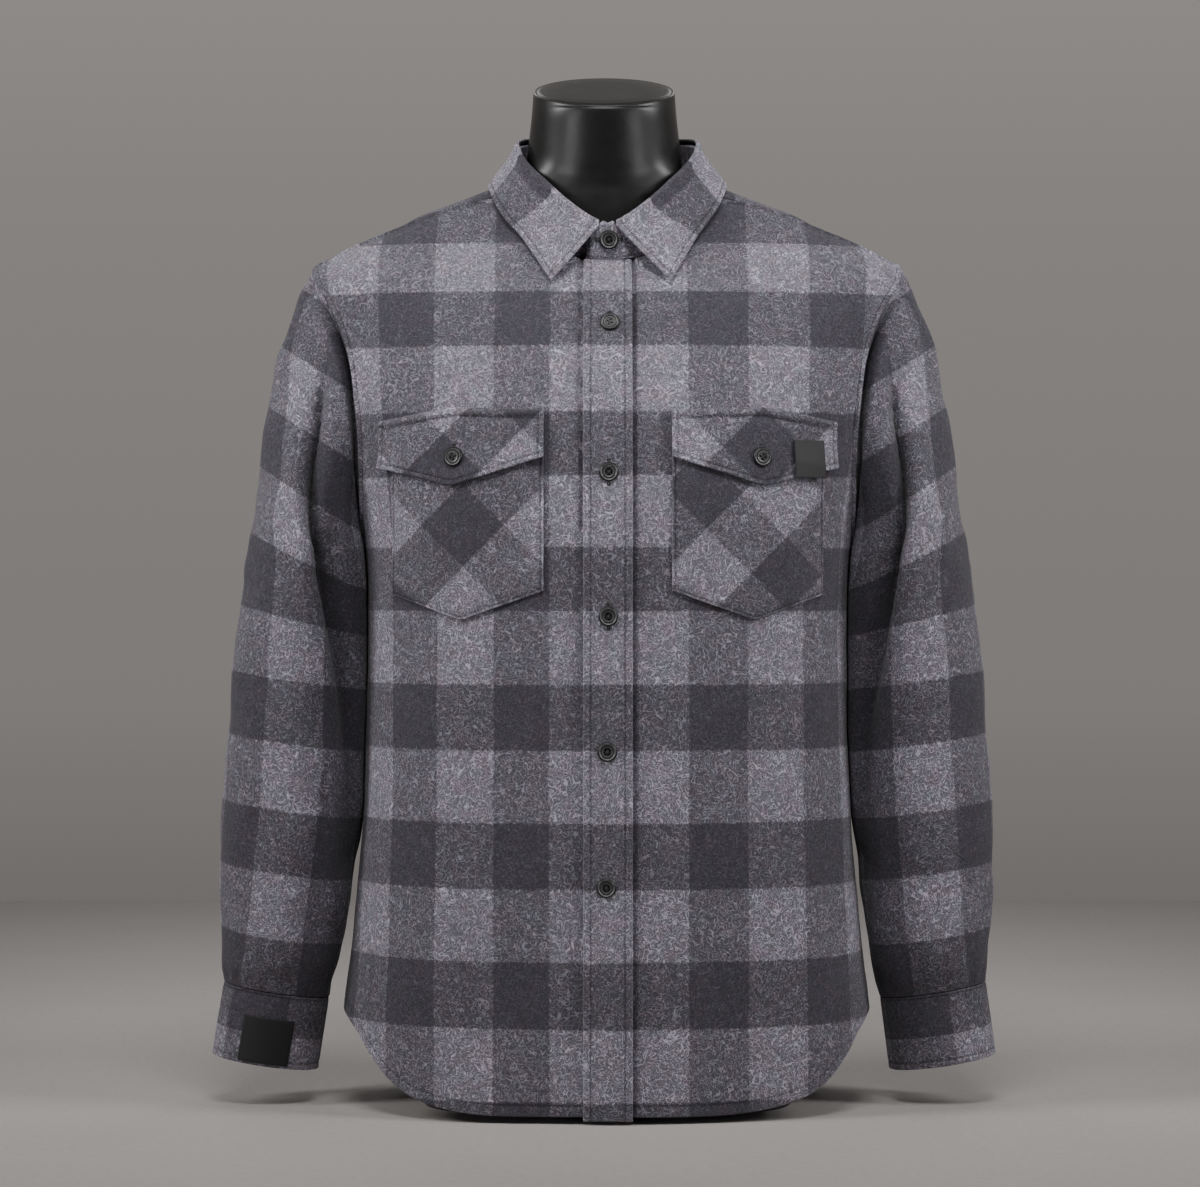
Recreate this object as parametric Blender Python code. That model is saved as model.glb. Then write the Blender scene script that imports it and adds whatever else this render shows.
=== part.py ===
"""A flannel shirt buttoned over a limbless torso dress form, every cloth piece a thin wall.

Metres, +Z up. The shirt faces -Y, the wearer's left is at +X, and the form stands on Z = 0.
The body is one smooth skin: a point on it is a turn about Z (0 at the centre front, 90 degrees
at the wearer's left side, 180 at the centre back) and a height.
"""
from math import asin, cos, degrees, exp, pi, radians, sin

import bmesh
import bpy
from mathutils import Matrix, Vector

# Cloth
CLOTH = 0.0016            # one layer of brushed flannel
BAND = 0.0026             # two layers with interfacing: cuffs, collar, placket
SEAM = 0.0003             # gap between two sewn pieces
LAID = 0.0009             # gap under a piece that lies on a panel
ON_TOP = 2 * SEAM         # gap under a button, and under a label on a flap or cuff
LABEL = 0.001             # a woven label
CREASE = 40.0             # degrees from which an edge is shaded sharp

# Body skin: height, half width, depth in front, depth behind, and how far back its middle lies
BODY_SQUARE = 2.35        # 2 is an ellipse, more is squarer
TORSO = (
    # z, wide, front, back, middle
    (0.000, 0.2195, 0.1370, 0.1340, 0.0),
    (0.072, 0.2157, 0.1370, 0.1330, 0.0),
    (0.136, 0.2085, 0.1365, 0.1300, 0.0),
    (0.206, 0.2023, 0.1360, 0.1265, 0.0),
    (0.271, 0.1976, 0.1355, 0.1240, 0.0),
    (0.345, 0.1960, 0.1350, 0.1230, 0.0),
    (0.410, 0.1958, 0.1355, 0.1240, 0.0),
    (0.445, 0.1975, 0.1365, 0.1250, 0.0),
    (0.476, 0.2015, 0.1360, 0.1255, 0.0),
    (0.513, 0.2095, 0.1325, 0.1265, 0.0),
    (0.550, 0.2190, 0.1255, 0.1265, 0.0),
    (0.575, 0.2260, 0.1180, 0.1255, 0.001),
    (0.600, 0.2320, 0.1085, 0.1230, 0.002),
    (0.630, 0.2380, 0.0930, 0.1190, 0.004),
    (0.655, 0.2415, 0.0775, 0.1150, 0.006),
    (0.681, 0.2415, 0.0555, 0.1090, 0.008),
    (0.690, 0.2260, 0.0475, 0.1070, 0.008),
    (0.6995, 0.2090, 0.0405, 0.1050, 0.008),
    (0.7145, 0.1750, 0.0325, 0.1000, 0.008),
    (0.7265, 0.1530, 0.0265, 0.0940, 0.008),
    (0.737, 0.1250, 0.0210, 0.0880, 0.008),
    (0.748, 0.0960, 0.0135, 0.0800, 0.008),
    (0.757, 0.0720, 0.0060, 0.0700, 0.008),
)

# Seams on the body skin
FLY = 0.0185              # front_right runs this far past the centre, under the placket
FLY_MIDDLE = 0.43         # height at the centre front of the row that starts at the armpit
NECK_WIDE = 0.0815        # neckline, an oval seen from above
NECK_DEEP = 0.0625
NECK_MIDDLE = 0.010
NECK_CORNER = 68.2        # degrees round the oval, from the front, to the yoke's front seam
YOKE_FRONT = (            # turn and height of the yoke's front seam, neck to shoulder tip
    (41.0, 0.7410),
    (55.0, 0.7340),
    (70.0, 0.7230),
    (79.0, 0.7080),
    (84.0, 0.6815),
)
ARMHOLE = (               # turn and height, down the front, up the back and over the shoulder
    (84.0, 0.6815),
    (74.0, 0.662),
    (65.8, 0.636),
    (63.0, 0.605),
    (64.8, 0.573),
    (69.5, 0.541),
    (75.0, 0.509),
    (82.5, 0.476),
    (90.0, 0.445),
    (97.5, 0.476),
    (104.0, 0.508),
    (108.0, 0.540),
    (110.0, 0.573),
    (110.5, 0.605),
    (109.0, 0.635),
    (103.0, 0.662),
    (93.0, 0.680),
)
ARMPIT = 8                # rows of ARMHOLE at its lowest point
BACK_SEAM = 14            # and at the end of the yoke's back seam
HEM = (                   # turn from the centre front or back, and height
    (0.0, 0.0058),
    (20.0, 0.0060),
    (30.0, 0.0088),
    (38.0, 0.0136),
    (44.0, 0.0193),
    (50.0, 0.0282),
    (56.0, 0.0402),
    (61.0, 0.0508),
    (66.0, 0.0610),
    (72.0, 0.0680),
    (80.0, 0.0745),
    (90.0, 0.0790),
)
TORSO_TIP = max(row[1] for row in TORSO)
PROBE = 0.0002            # step by which slopes are measured
YOKE_SPINE = (0.62, 0.672)       # height the yoke bends round, at the centre and at the shoulder

# Grid counts
NECK_STEPS = 6            # along the neckline of a front, from its placket
FLY_STEPS = 2             # and under the placket
SEAM_STEPS = 8            # along the yoke's front seam
ARM_FRONT_STEPS = 10
ARM_BACK_STEPS = 8
ARM_YOKE_STEPS = 8
SIDE_STEPS = 12
YOKE_NECK_STEPS = 16
SLEEVE_ROWS = 14
CUFF_COLUMNS = 28
COLLAR_COLUMNS = 32
COLLAR_ROWS = 7

# Sleeve below the armhole: centre x and z, slope of the ring, half width, half depth
SLEEVE = (
    # x, z, slope, wide, deep
    (0.2438, 0.4585, 32.8, 0.0532, 0.0760),
    (0.2478, 0.4115, 18.4, 0.0530, 0.0710),
    (0.2518, 0.3585, 9.0, 0.0550, 0.0660),
    (0.2544, 0.3020, 8.0, 0.0564, 0.0630),
    (0.2575, 0.2500, 8.0, 0.0570, 0.0610),
    (0.2612, 0.2000, 8.0, 0.0562, 0.0600),
    (0.2647, 0.1500, 8.5, 0.0517, 0.0570),
    (0.2667, 0.1200, 8.5, 0.0478, 0.0530),
    (0.26855, 0.0926, 8.7, 0.0437, 0.0400),
)
CAP_SHARE = 0.4           # share of the sleeve's rows above the first ring
CAP_REACH = 1.3           # rows of ARMHOLE over which the cap's first direction is evened out
SEAM_REACH = 0.02         # and over which the seam's own direction is measured
CAP_START = 0.55          # tangent at the armhole and at the first ring, in chords
CAP_END = 0.80
SWING = {1: -0.003, -1: 0.004}   # how far the cuff hangs out from the mean, left and right
SWING_TOP = 0.26
FOLDS = (                 # troughs of the sleeve, and with a negative depth its full cap
    # turn at the top end, turn at the bottom end, top row, bottom row, depth, spread
    (0.0, 0.0, 0.0, 0.36, -0.0068, 42.0),
    (60.0, 138.0, 0.08, 0.56, 0.0080, 11.0),
    (30.0, 85.0, 0.05, 0.20, 0.0040, 9.0),
)

# Cuff: top and bottom ring, as in SLEEVE, and its lap
CUFF_TOP = (0.2686, 0.0922, 8.7, 0.0437, 0.0400)
CUFF_BOTTOM = (0.2772, 0.0335, 8.7, 0.0440, 0.0405)
CUFF_LAP_AT = 290.0       # degrees round the sleeve where the cuff's outer end lies
CUFF_LAP = 38.0
LAP_FROM = 312.0          # a band starts to sink under its own end here, and has sunk here
LAP_DEEP = 340.0
LAP_GAP = 0.0009
PLACKET_TOP = 0.66        # the sleeve placket's rows
PLACKET_BOTTOM = 0.985
PLACKET_HALF_TURN = 12.0

# Collar: the fold line as turn, height; the outer edge as x, y, z. Both from front to back
STAND_BACK = 0.0745       # fold line seen from above: half width and depth
STAND_DEEP = 0.0660
STAND_MIDDLE = 0.0105
FOLD = (
    (0.0, 0.7125),
    (28.0, 0.7320),
    (44.0, 0.7480),
    (66.0, 0.7660),
    (84.0, 0.7800),
    (115.0, 0.7890),
    (180.0, 0.7930),
)
COLLAR_EDGE = (
    # turn, x, y, z
    (5.0, 0.0485, -0.0750, 0.6670),
    (25.0, 0.0704, -0.0430, 0.7030),
    (45.0, 0.0826, -0.0345, 0.7185),
    (66.0, 0.0925, -0.0225, 0.7345),
    (90.0, 0.0985, 0.0060, 0.7520),
    (120.0, 0.0890, 0.0520, 0.7510),
    (150.0, 0.0530, 0.0850, 0.7450),
    (180.0, 0.0, 0.0930, 0.7430),
)
COLLAR_LEAN = 0.0030      # the points lie this far to the wearer's left
COLLAR_ENDS = 5.0         # degrees from the centre front to each end of the fold line
COLLAR_ROLL = 0.0043      # radius of the roll over the stand
COLLAR_ROLL_SHARE = 0.3   # share of the collar's rows in the roll
COLLAR_ROLL_TURN = (100.0, 10.0)          # degrees above the horizontal, inside and outside
COLLAR_START = 0.5        # tangent below the roll and at the edge, in chords
COLLAR_END = 0.8
COLLAR_LEAN_END = 45.0    # the lean fades out by this turn
STAND_LAP = 10.2          # degrees that each end of the stand runs past the centre front

# Placket, pockets and flaps on the fronts: x and z as seen from the front
PLACKET_EDGES = (-0.0195, 0.0205)
PLACKET_ENDS = (0.6820, 0.0030)
POCKET_X = (0.0506, 0.1165, 0.1720)       # inner edge, point, outer edge
POCKET_TOP = 0.540
POCKET_LOW = (0.4180, 0.3950, 0.4150)
FLAP_X = (0.0504, 0.1230, 0.1831)
FLAP_TOP = (0.5610, 0.5640, 0.5530)
FLAP_LOW = (0.5230, 0.5005, 0.5160)
FLAP_OUT = LAID + CLOTH + LAID + BAND     # how far a flap's face stands off the front
FLAP_LABEL_X = (0.1472, 0.1717)
FLAP_LABEL_Z = (0.5373, 0.5073)
CUFF_LABEL_TURNS = (64.0, 118.0)
CUFF_LABEL_ROWS = (0.34, 0.96)

# Buttons
BUTTON = 0.0075
BUTTON_THICK = 0.0026
BUTTON_HEIGHTS = (0.6312, 0.5112, 0.3980, 0.2920, 0.1856)
BUTTON_X = (0.0016, 0.0008, 0.0004, -0.0004, -0.0012)
STAND_BUTTON = 0.5        # share of the stand's height
STAND_BUTTON_TURN = 0.8
FLAP_BUTTON = (0.1215, 0.5235)
CUFF_BUTTON = 0.45        # share of the cuff's lap

# Dress form: height, half width, depth in front, depth behind
FORM = (
    (0.000, 0.150, 0.098, 0.100),
    (0.050, 0.158, 0.104, 0.106),
    (0.150, 0.163, 0.108, 0.112),
    (0.300, 0.150, 0.103, 0.100),
    (0.420, 0.168, 0.116, 0.106),
    (0.500, 0.180, 0.121, 0.114),
    (0.560, 0.188, 0.109, 0.116),
    (0.610, 0.196, 0.090, 0.111),
    (0.650, 0.200, 0.068, 0.104),
)
FORM_END = 0.200          # the shoulders end flat at this half width
FORM_SEAT = 0.0033        # below the yoke's lining side
FORM_DOME = (0.684, 0.696, 0.708, 0.720)
NECK_SHIFT = -0.0028      # the neck stands this far to the wearer's right
NECK = (                  # height, half width, depth in front and behind, middle, squareness
    (0.7290, 0.1120, 0.0190, 0.0790, 0.0080, 2.35),
    (0.7380, 0.0790, 0.0290, 0.0640, 0.0110, 2.20),
    (0.7470, 0.0700, 0.0370, 0.0590, 0.0110, 2.05),
    (0.7570, 0.0655, 0.0405, 0.0595, 0.0095, 2.00),
    (0.7680, 0.0640, 0.0430, 0.0590, 0.0080, 2.00),
    (0.7850, 0.0620, 0.0460, 0.0560, 0.0050, 2.00),
    (0.8060, 0.0595, 0.0500, 0.0520, 0.0010, 2.00),
)
FORM_STEPS = 40
CAP_TILT = 20.0           # the neck cap leans forward
CAP_MIDDLE = 0.826
CAP_WIDE = 0.0580
CAP_DEEP = 0.0530
CAP_RIM = ((1.0, 0.0), (0.97, 0.0018), (0.9, 0.0026))     # share of its size, rise

COLOURS = {
    "flannel": (0.205, 0.195, 0.225, 0.92, 0.0),
    "button": (0.055, 0.054, 0.058, 0.35, 0.0),
    "label": (0.012, 0.012, 0.014, 0.7, 0.0),
    "form": (0.016, 0.016, 0.018, 0.42, 0.0),
}


def clear_scene():
    """Start from an empty scene with one collection for the shirt."""
    for obj in list(bpy.data.objects):
        bpy.data.objects.remove(obj)
    parts = bpy.data.collections.new("flannel_shirt")
    bpy.context.scene.collection.children.link(parts)
    return parts


PARTS = clear_scene()
ROOT = bpy.data.objects.new("shirt_on_form", None)
PARTS.objects.link(ROOT)


def material(kind, name):
    """A Principled material for one piece."""
    red, green, blue, rough, metal = COLOURS[kind]
    made = bpy.data.materials.new(name)
    made.use_nodes = True
    shader = made.node_tree.nodes["Principled BSDF"]
    shader.inputs["Base Color"].default_value = (red, green, blue, 1.0)
    shader.inputs["Roughness"].default_value = rough
    shader.inputs["Metallic"].default_value = metal
    return made


def blend(rows, at, key=0):
    """The other columns of a table where column `key` is `at`, by a smooth curve through its rows."""
    keys = [row[key] for row in rows]
    at = min(max(at, min(keys)), max(keys))
    last = len(rows) - 2
    low = next((i for i in range(last) if at <= keys[i + 1]), last)
    step = keys[low + 1] - keys[low]
    t = (at - keys[low]) / step
    out = []
    for column in range(len(rows[0])):
        if column == key:
            continue
        values = [row[column] for row in rows]
        slopes = []
        for i in (low, low + 1):
            before, after = max(i - 1, 0), min(i + 1, len(rows) - 1)
            slopes.append((values[after] - values[before]) / (keys[after] - keys[before]) * step)
        out.append(
            values[low] * (2 * t**3 - 3 * t**2 + 1) + slopes[0] * (t**3 - 2 * t**2 + t)
            + values[low + 1] * (3 * t**2 - 2 * t**3) + slopes[1] * (t**3 - t**2))
    return out


def numbered(rows):
    """A table with its row numbers as the first column."""
    return [(index,) + tuple(row) for index, row in enumerate(rows)]


# ---------------------------------------------------------------- the body skin

def oval(turn, wide, front, back, middle, square):
    """A point in plan on a squared oval: 2 is an ellipse and more is squarer. Turn 0 is its front."""
    angle = radians(turn)
    x = wide * abs(sin(angle)) ** (2 / square) * (1 if sin(angle) >= 0 else -1)
    along = abs(cos(angle)) ** (2 / square)
    y = middle - (front + middle) * along if cos(angle) >= 0 else middle + (back - middle) * along
    return x, y


def skin(turn, z):
    """A point on the shirt's body, for a turn in degrees and a height."""
    return Vector((*oval(turn, *blend(TORSO, z), BODY_SQUARE), z))


def reach(x, y, z):
    """How far out a point lies: less than 1 within the body's skin, more than 1 outside it."""
    wide, front, back, middle = blend(TORSO, z)
    deep = front + middle if y < middle else back - middle
    return (abs(x) / wide) ** BODY_SQUARE + (abs(y - middle) / deep) ** BODY_SQUARE


def normal_at(point):
    """The way the body's skin faces at a point on it."""
    steps = (Vector((PROBE, 0, 0)), Vector((0, PROBE, 0)), Vector((0, 0, PROBE)))
    return Vector([reach(*(point + step)) - reach(*(point - step)) for step in steps]).normalized()


def facing(turn, z):
    """The way the body's skin faces, for a turn and a height."""
    return normal_at(skin(turn, z))


def body(turn, z, out=0.0):
    """A point that lies `out` outside the body's skin."""
    return skin(turn, z) + facing(turn, z) * out


def meet(start, way, far):
    """The point on the skin along a line from a point within it, `far` being surely outside."""
    low, high = 0.0, far
    for _ in range(30):
        middle = (low + high) / 2
        if reach(*(start + way * middle)) < 1:
            low = middle
        else:
            high = middle
    return start + way * low


def turn_at(x, z):
    """The turn of the front's skin at x and z."""
    wide = blend(TORSO, z)[0]
    share = min(abs(x) / wide, 1.0)
    angle = degrees(asin(share ** (BODY_SQUARE / 2)))
    return angle if x >= 0 else -angle


def level(x, y):
    """The height of the shoulder skin over (x, y)."""
    base = Vector((x, y, TORSO[0][0]))
    return meet(base, Vector((0, 0, 1)), TORSO[-1][0]).z


def neckline(turn):
    """Turn and height of the neckline at an angle round its oval, 0 at the centre front."""
    angle = radians(turn)
    x = NECK_WIDE * sin(angle)
    y = NECK_MIDDLE - NECK_DEEP * cos(angle)
    z = level(x, y)
    wide, front, back, middle = blend(TORSO, z)
    share = min(abs(x) / wide, 1.0)
    around = degrees(asin(share ** (BODY_SQUARE / 2)))
    around = around if y < middle else 180 - around
    return Vector((around if x >= 0 else -around, z))


def neck_angles():
    """Angles round the neck oval of the left front's columns, from the placket to the yoke seam."""
    start = degrees(asin((FLY + SEAM) / NECK_WIDE))
    return [start + (NECK_CORNER - start) * i / NECK_STEPS for i in range(NECK_STEPS + 1)]


def under_angles(start):
    """Angles of the columns that lie under the placket, from `start` up to the first of the above."""
    end = neck_angles()[0]
    return [start + (end - start) * i / FLY_STEPS for i in range(FLY_STEPS)]


def pick(values, index):
    """The value at a place between the entries of a list."""
    low = min(int(index + 1e-6), len(values) - 2)
    return values[low] + (values[low + 1] - values[low]) * (index - low)


def armhole(t):
    """Turn and height on the armhole, t in rows of its table."""
    count = len(ARMHOLE)
    i = int(t // 1)
    part = t - i
    before, here, after, beyond = (Vector(ARMHOLE[(i + k) % count]) for k in (-1, 0, 1, 2))
    start = (after - before) / 2
    end = (beyond - here) / 2
    return (here * (2 * part**3 - 3 * part**2 + 1) + start * (part**3 - 2 * part**2 + part)
            + after * (3 * part**2 - 2 * part**3) + end * (part**3 - part**2))


def yoke_front(t):
    """Turn and height on the yoke's front seam, 0 at the neck and 1 at the shoulder tip."""
    start = neckline(NECK_CORNER)
    rows = [(0.0, start.x, start.y)]
    rows += [(i / (len(YOKE_FRONT) - 1),) + YOKE_FRONT[i] for i in range(1, len(YOKE_FRONT))]
    return Vector(blend(rows, t))


def hem_height(turn):
    """The height of the hem, the same in front and behind."""
    turn = abs(turn)
    return blend(HEM, min(turn, 180 - turn))[0]


def patch(left, right, top, bottom):
    """A function of u and v that fills four edges; the top's shape fades out downwards."""
    def fill(u, v):
        corners = ((top(0), top(1)), (bottom(0), bottom(1)))
        sides = left(v) * (1 - u) + right(v) * u
        fade = (1 - v) ** 2
        upper = top(u) - (corners[0][0] * (1 - u) + corners[0][1] * u)
        lower = bottom(u) - (corners[1][0] * (1 - u) + corners[1][1] * u)
        return sides + upper * fade + lower * v**2
    return fill


# ---------------------------------------------------------------- walls of cloth

def wall(name, place, across, down, thick, kind="flannel", sewn="NSEW", tube=False):
    """A closed wall: a grid laid on place(u, v, out), then drawn inwards by its thickness.

    u runs across and v runs down, both from 0 to 1. sewn names the sides that are drawn
    back by half a seam: N is v = 0, S is v = 1, W is u = 0 and E is u = 1. A tube's W meets its E.
    """
    mesh = bmesh.new()
    bmesh.ops.create_grid(mesh, x_segments=across, y_segments=down, size=0.5)
    spot = mesh.verts.layers.float_vector.new("spot")
    for vert in mesh.verts:
        vert[spot] = (vert.co.x + 0.5, 0.5 - vert.co.y, 0.0)
        vert.co = place(vert[spot].x, vert[spot].y, 0.0)
    if tube:
        bmesh.ops.remove_doubles(mesh, verts=mesh.verts[:], dist=1e-5)
    made = bmesh.ops.extrude_face_region(mesh, geom=mesh.faces[:])
    inner = {item for item in made["geom"] if isinstance(item, bmesh.types.BMVert)}
    pull = SEAM / 2
    for vert in mesh.verts:
        u, v, _ = vert[spot]
        out = -thick if vert in inner else 0.0
        point = place(u, v, out)
        for side, at_edge, du, dv in (
                ("N", v < 1e-6, 0, 0.5 / down), ("S", v > 1 - 1e-6, 0, -0.5 / down),
                ("W", u < 1e-6, 0.5 / across, 0), ("E", u > 1 - 1e-6, -0.5 / across, 0)):
            if at_edge and side in sewn:
                inward = place(u + du, v + dv, out) - place(u, v, out)
                point = point + inward.normalized() * pull
        vert.co = point
    return add_mesh(name, mesh, kind)


def add_mesh(name, mesh, kind):
    """Make an object of a closed bmesh, faces outward, shaded smooth but for its edges."""
    bmesh.ops.recalc_face_normals(mesh, faces=mesh.faces[:])
    if mesh.calc_volume(signed=True) < 0:
        bmesh.ops.reverse_faces(mesh, faces=mesh.faces[:])
    data = bpy.data.meshes.new(name)
    mesh.to_mesh(data)
    mesh.free()
    data.shade_smooth()
    data.set_sharp_from_angle(angle=radians(CREASE))
    data.materials.append(material(kind, name))
    obj = bpy.data.objects.new(name, data)
    PARTS.objects.link(obj)
    obj.parent = ROOT
    return obj


def mirrored(place, side):
    """The same place function, on the wearer's left (1) or right (-1)."""
    def flip(u, v, out):
        point = place(u, v, out)
        return Vector((point.x * side, point.y, point.z))
    return flip


# ---------------------------------------------------------------- fronts, back and yoke

def fly_height(v, top, low):
    """The height at v down the centre front: closer rows above the armpit's level, as on a front."""
    share = ARM_FRONT_STEPS / (ARM_FRONT_STEPS + SIDE_STEPS)
    if v < share:
        return top + (FLY_MIDDLE - top) * v / share
    return FLY_MIDDLE + (low - FLY_MIDDLE) * (v - share) / (1 - share)


def front(side, name):
    """One front, from its inner edge to the side seam, written for the wearer's left."""
    inner = FLY + SEAM if side > 0 else -FLY
    angles = neck_angles()
    if side < 0:
        angles = under_angles(degrees(asin(inner / NECK_WIDE))) + angles
    neck_columns = len(angles) - 1
    columns = neck_columns + SEAM_STEPS
    rows = ARM_FRONT_STEPS + SIDE_STEPS
    arm_share = ARM_FRONT_STEPS / rows
    side_hem = hem_height(90)

    def top(u):
        if u * columns < neck_columns:
            return neckline(pick(angles, u * columns))
        return yoke_front((u * columns - neck_columns) / SEAM_STEPS)

    def right(v):
        if v < arm_share:
            return armhole(ARMPIT * v / arm_share)
        low = (v - arm_share) / (1 - arm_share)
        pit = ARMHOLE[ARMPIT][1]
        return Vector((90.0, pit + (side_hem - pit) * low))

    def left(v):
        z = fly_height(v, top(0).y, hem_height(0))
        return Vector((turn_at(inner, z), z))

    def bottom(u):
        turn = left(1).x + (90 - left(1).x) * u
        return Vector((turn, hem_height(turn)))

    fill = patch(left, right, top, bottom)

    def place(u, v, out):
        turn, z = fill(u, v)
        return body(turn, z, out)

    wall(name, mirrored(place, side), columns, rows, CLOTH)


def back():
    """The back below the yoke, from the left side seam to the right one."""
    columns = 2 * SEAM_STEPS + YOKE_NECK_STEPS
    rows = ARM_BACK_STEPS + SIDE_STEPS
    arm_share = ARM_BACK_STEPS / rows
    seam_turn, seam_z = ARMHOLE[BACK_SEAM]
    pit = ARMHOLE[ARMPIT][1]
    side_hem = hem_height(90)

    def left(v):
        if v < arm_share:
            return armhole(BACK_SEAM + (ARMPIT - BACK_SEAM) * v / arm_share)
        low = (v - arm_share) / (1 - arm_share)
        return Vector((90.0, pit + (side_hem - pit) * low))

    def right(v):
        edge = left(v)
        return Vector((360 - edge.x, edge.y))

    def top(u):
        return Vector((seam_turn + (360 - 2 * seam_turn) * u, seam_z))

    def bottom(u):
        turn = 90 + 180 * u
        return Vector((turn, hem_height(turn if turn < 180 else 360 - turn)))

    fill = patch(left, right, top, bottom)

    def place(u, v, out):
        turn, z = fill(u, v)
        return body(turn, z, out)

    wall("back", place, columns, rows, CLOTH)


def yoke():
    """The yoke, from its back seam up over both shoulders to the fronts and the neckline."""
    columns = 2 * SEAM_STEPS + YOKE_NECK_STEPS
    seam_share = SEAM_STEPS / columns
    seam_turn, seam_z = ARMHOLE[BACK_SEAM]

    def edge(v):
        return skin(*armhole(BACK_SEAM + (len(ARMHOLE) - BACK_SEAM) * v))

    def over(point):
        return Vector((-point.x, point.y, point.z))

    def far(u):
        if u > 0.5:
            return over(far(1 - u))
        if u < seam_share:
            return skin(*yoke_front(1 - u / seam_share))
        round_neck = (u - seam_share) / (1 - 2 * seam_share)
        return skin(*neckline(NECK_CORNER + (360 - 2 * NECK_CORNER) * round_neck))

    def near(u):
        return skin(seam_turn + (360 - 2 * seam_turn) * u, seam_z)

    def fill(u, v):
        sides = edge(v) * (1 - u) + over(edge(v)) * u
        ends = near(u) * (1 - v) + far(u) * v
        corners = near(0).lerp(near(1), u) * (1 - v) + far(0).lerp(far(1), u) * v
        return sides + ends - corners

    def place(u, v, out):
        point = fill(u, v)
        if 0.001 < u < 0.999 and 0.001 < v < 0.999:
            low, high = YOKE_SPINE
            share = (abs(point.x) / TORSO_TIP) ** 2
            start = Vector((point.x, TORSO[-1][4], low + (high - low) * share))
            point = meet(start, (point - start).normalized(), TORSO_TIP)
        return point + normal_at(point) * out

    wall("yoke", place, columns, ARM_YOKE_STEPS, CLOTH)


# ---------------------------------------------------------------- sleeves and cuffs

def ring(row, turn):
    """A point on an oval ring: turn 0 is its outer end and 90 its front."""
    x, z, slope, wide, deep = row
    angle = radians(turn)
    reach = wide * cos(angle)
    tilt = radians(slope)
    return Vector((x + reach * cos(tilt), -deep * sin(angle), z + reach * sin(tilt)))


def loop_turn(t):
    """The turn round the sleeve that belongs to armhole position t."""
    return 360.0 * ((t + 0.5) / len(ARMHOLE) % 1.0)


def set_out(t, span):
    """The way the sleeve sets out from the armhole at t, and the way its cloth faces there.

    Both are evened out over `span` rows of the armhole's table on either side.
    """
    near = [armhole(t + span * step) for step in (-1, -0.5, 0, 0.5, 1)]
    along = (skin(*near[-1]) - skin(*near[0])).normalized()
    outward = sum((facing(*spot) for spot in near), Vector()).normalized()
    into = outward.cross(along).normalized()
    under = (1 - cos(radians(loop_turn(t)))) / 2
    lift = pi / 2 * under**1.5
    return into * cos(lift) + outward * sin(lift), outward * cos(lift) - into * sin(lift)


def sleeve_tube(index, turn):
    """A point on the sleeve below the armhole, index in rows of its table."""
    return ring(blend(numbered(SLEEVE), index), turn)


def bare_sleeve(t, v):
    """The sleeve without its folds: t round the armhole, v from 0 at the armhole to 1."""
    turn = loop_turn(t)
    if v >= CAP_SHARE:
        return sleeve_tube((v - CAP_SHARE) / (1 - CAP_SHARE) * (len(SLEEVE) - 1), turn)
    start = skin(*armhole(t)) + set_out(t, SEAM_REACH)[0] * SEAM / 2
    way = set_out(t, CAP_REACH)[0]
    end = sleeve_tube(0, turn)
    chord = (end - start).length
    way_end = (sleeve_tube(0.2, turn) - end).normalized()
    s = v / CAP_SHARE
    return (start * (2 * s**3 - 3 * s**2 + 1) + way * chord * CAP_START * (s**3 - 2 * s**2 + s)
            + end * (3 * s**2 - 2 * s**3) + way_end * chord * CAP_END * (s**3 - s**2))


def fold_depth(turn, v):
    """How far the sleeve is drawn in by its folds."""
    depth = 0.0
    for turn0, turn1, v0, v1, deep, spread in FOLDS:
        share = (v - v0) / (v1 - v0)
        if 0 < share < 1:
            centre = turn0 + (turn1 - turn0) * share
            away = (turn - centre + 180) % 360 - 180
            depth += deep * sin(pi * share) * exp(-(away / spread) ** 2 / 2)
    return depth


def sleeve_place(t, v, out):
    """A point `out` outside the sleeve."""
    step = 0.02
    around = bare_sleeve(t + step, v) - bare_sleeve(t - step, v)
    low, high = max(v - 0.004, 0.0), min(v + 0.004, 1.0)
    downward = bare_sleeve(t, high) - bare_sleeve(t, low)
    normal = around.cross(downward).normalized() if v > 0.001 else set_out(t, SEAM_REACH)[1]
    return bare_sleeve(t, v) + normal * (out - fold_depth(loop_turn(t), v))


def swung(place, side):
    """A place function moved out by the sleeve's swing, then set on its side."""
    def move(u, v, out):
        point = place(u, v, out)
        share = min(max((SWING_TOP - point.z) / SWING_TOP, 0.0), 1.0)
        return Vector(((point.x + SWING[side] * share) * side, point.y, point.z))
    return move


def armhole_steps():
    """Armhole positions of the sleeve's edge, the same as the fronts', back's and yoke's."""
    count = len(ARMHOLE)
    steps = [ARMPIT * i / ARM_FRONT_STEPS for i in range(ARM_FRONT_STEPS)]
    steps += [ARMPIT + (BACK_SEAM - ARMPIT) * i / ARM_BACK_STEPS for i in range(ARM_BACK_STEPS)]
    steps += [BACK_SEAM + (count - BACK_SEAM) * i / ARM_YOKE_STEPS for i in range(ARM_YOKE_STEPS)]
    return steps + [float(count)]


def sleeve(side, name):
    """One sleeve, a tube from the armhole to the cuff seam."""
    steps = armhole_steps()
    count = len(steps) - 1

    def place(u, v, out):
        i = u * count
        low = min(int(i + 1e-6), count - 1)
        t = steps[low] + (steps[low + 1] - steps[low]) * (i - low)
        return sleeve_place(t, v, out)

    wall(name, swung(place, side), count, SLEEVE_ROWS, CLOTH, sewn="", tube=True)


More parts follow.
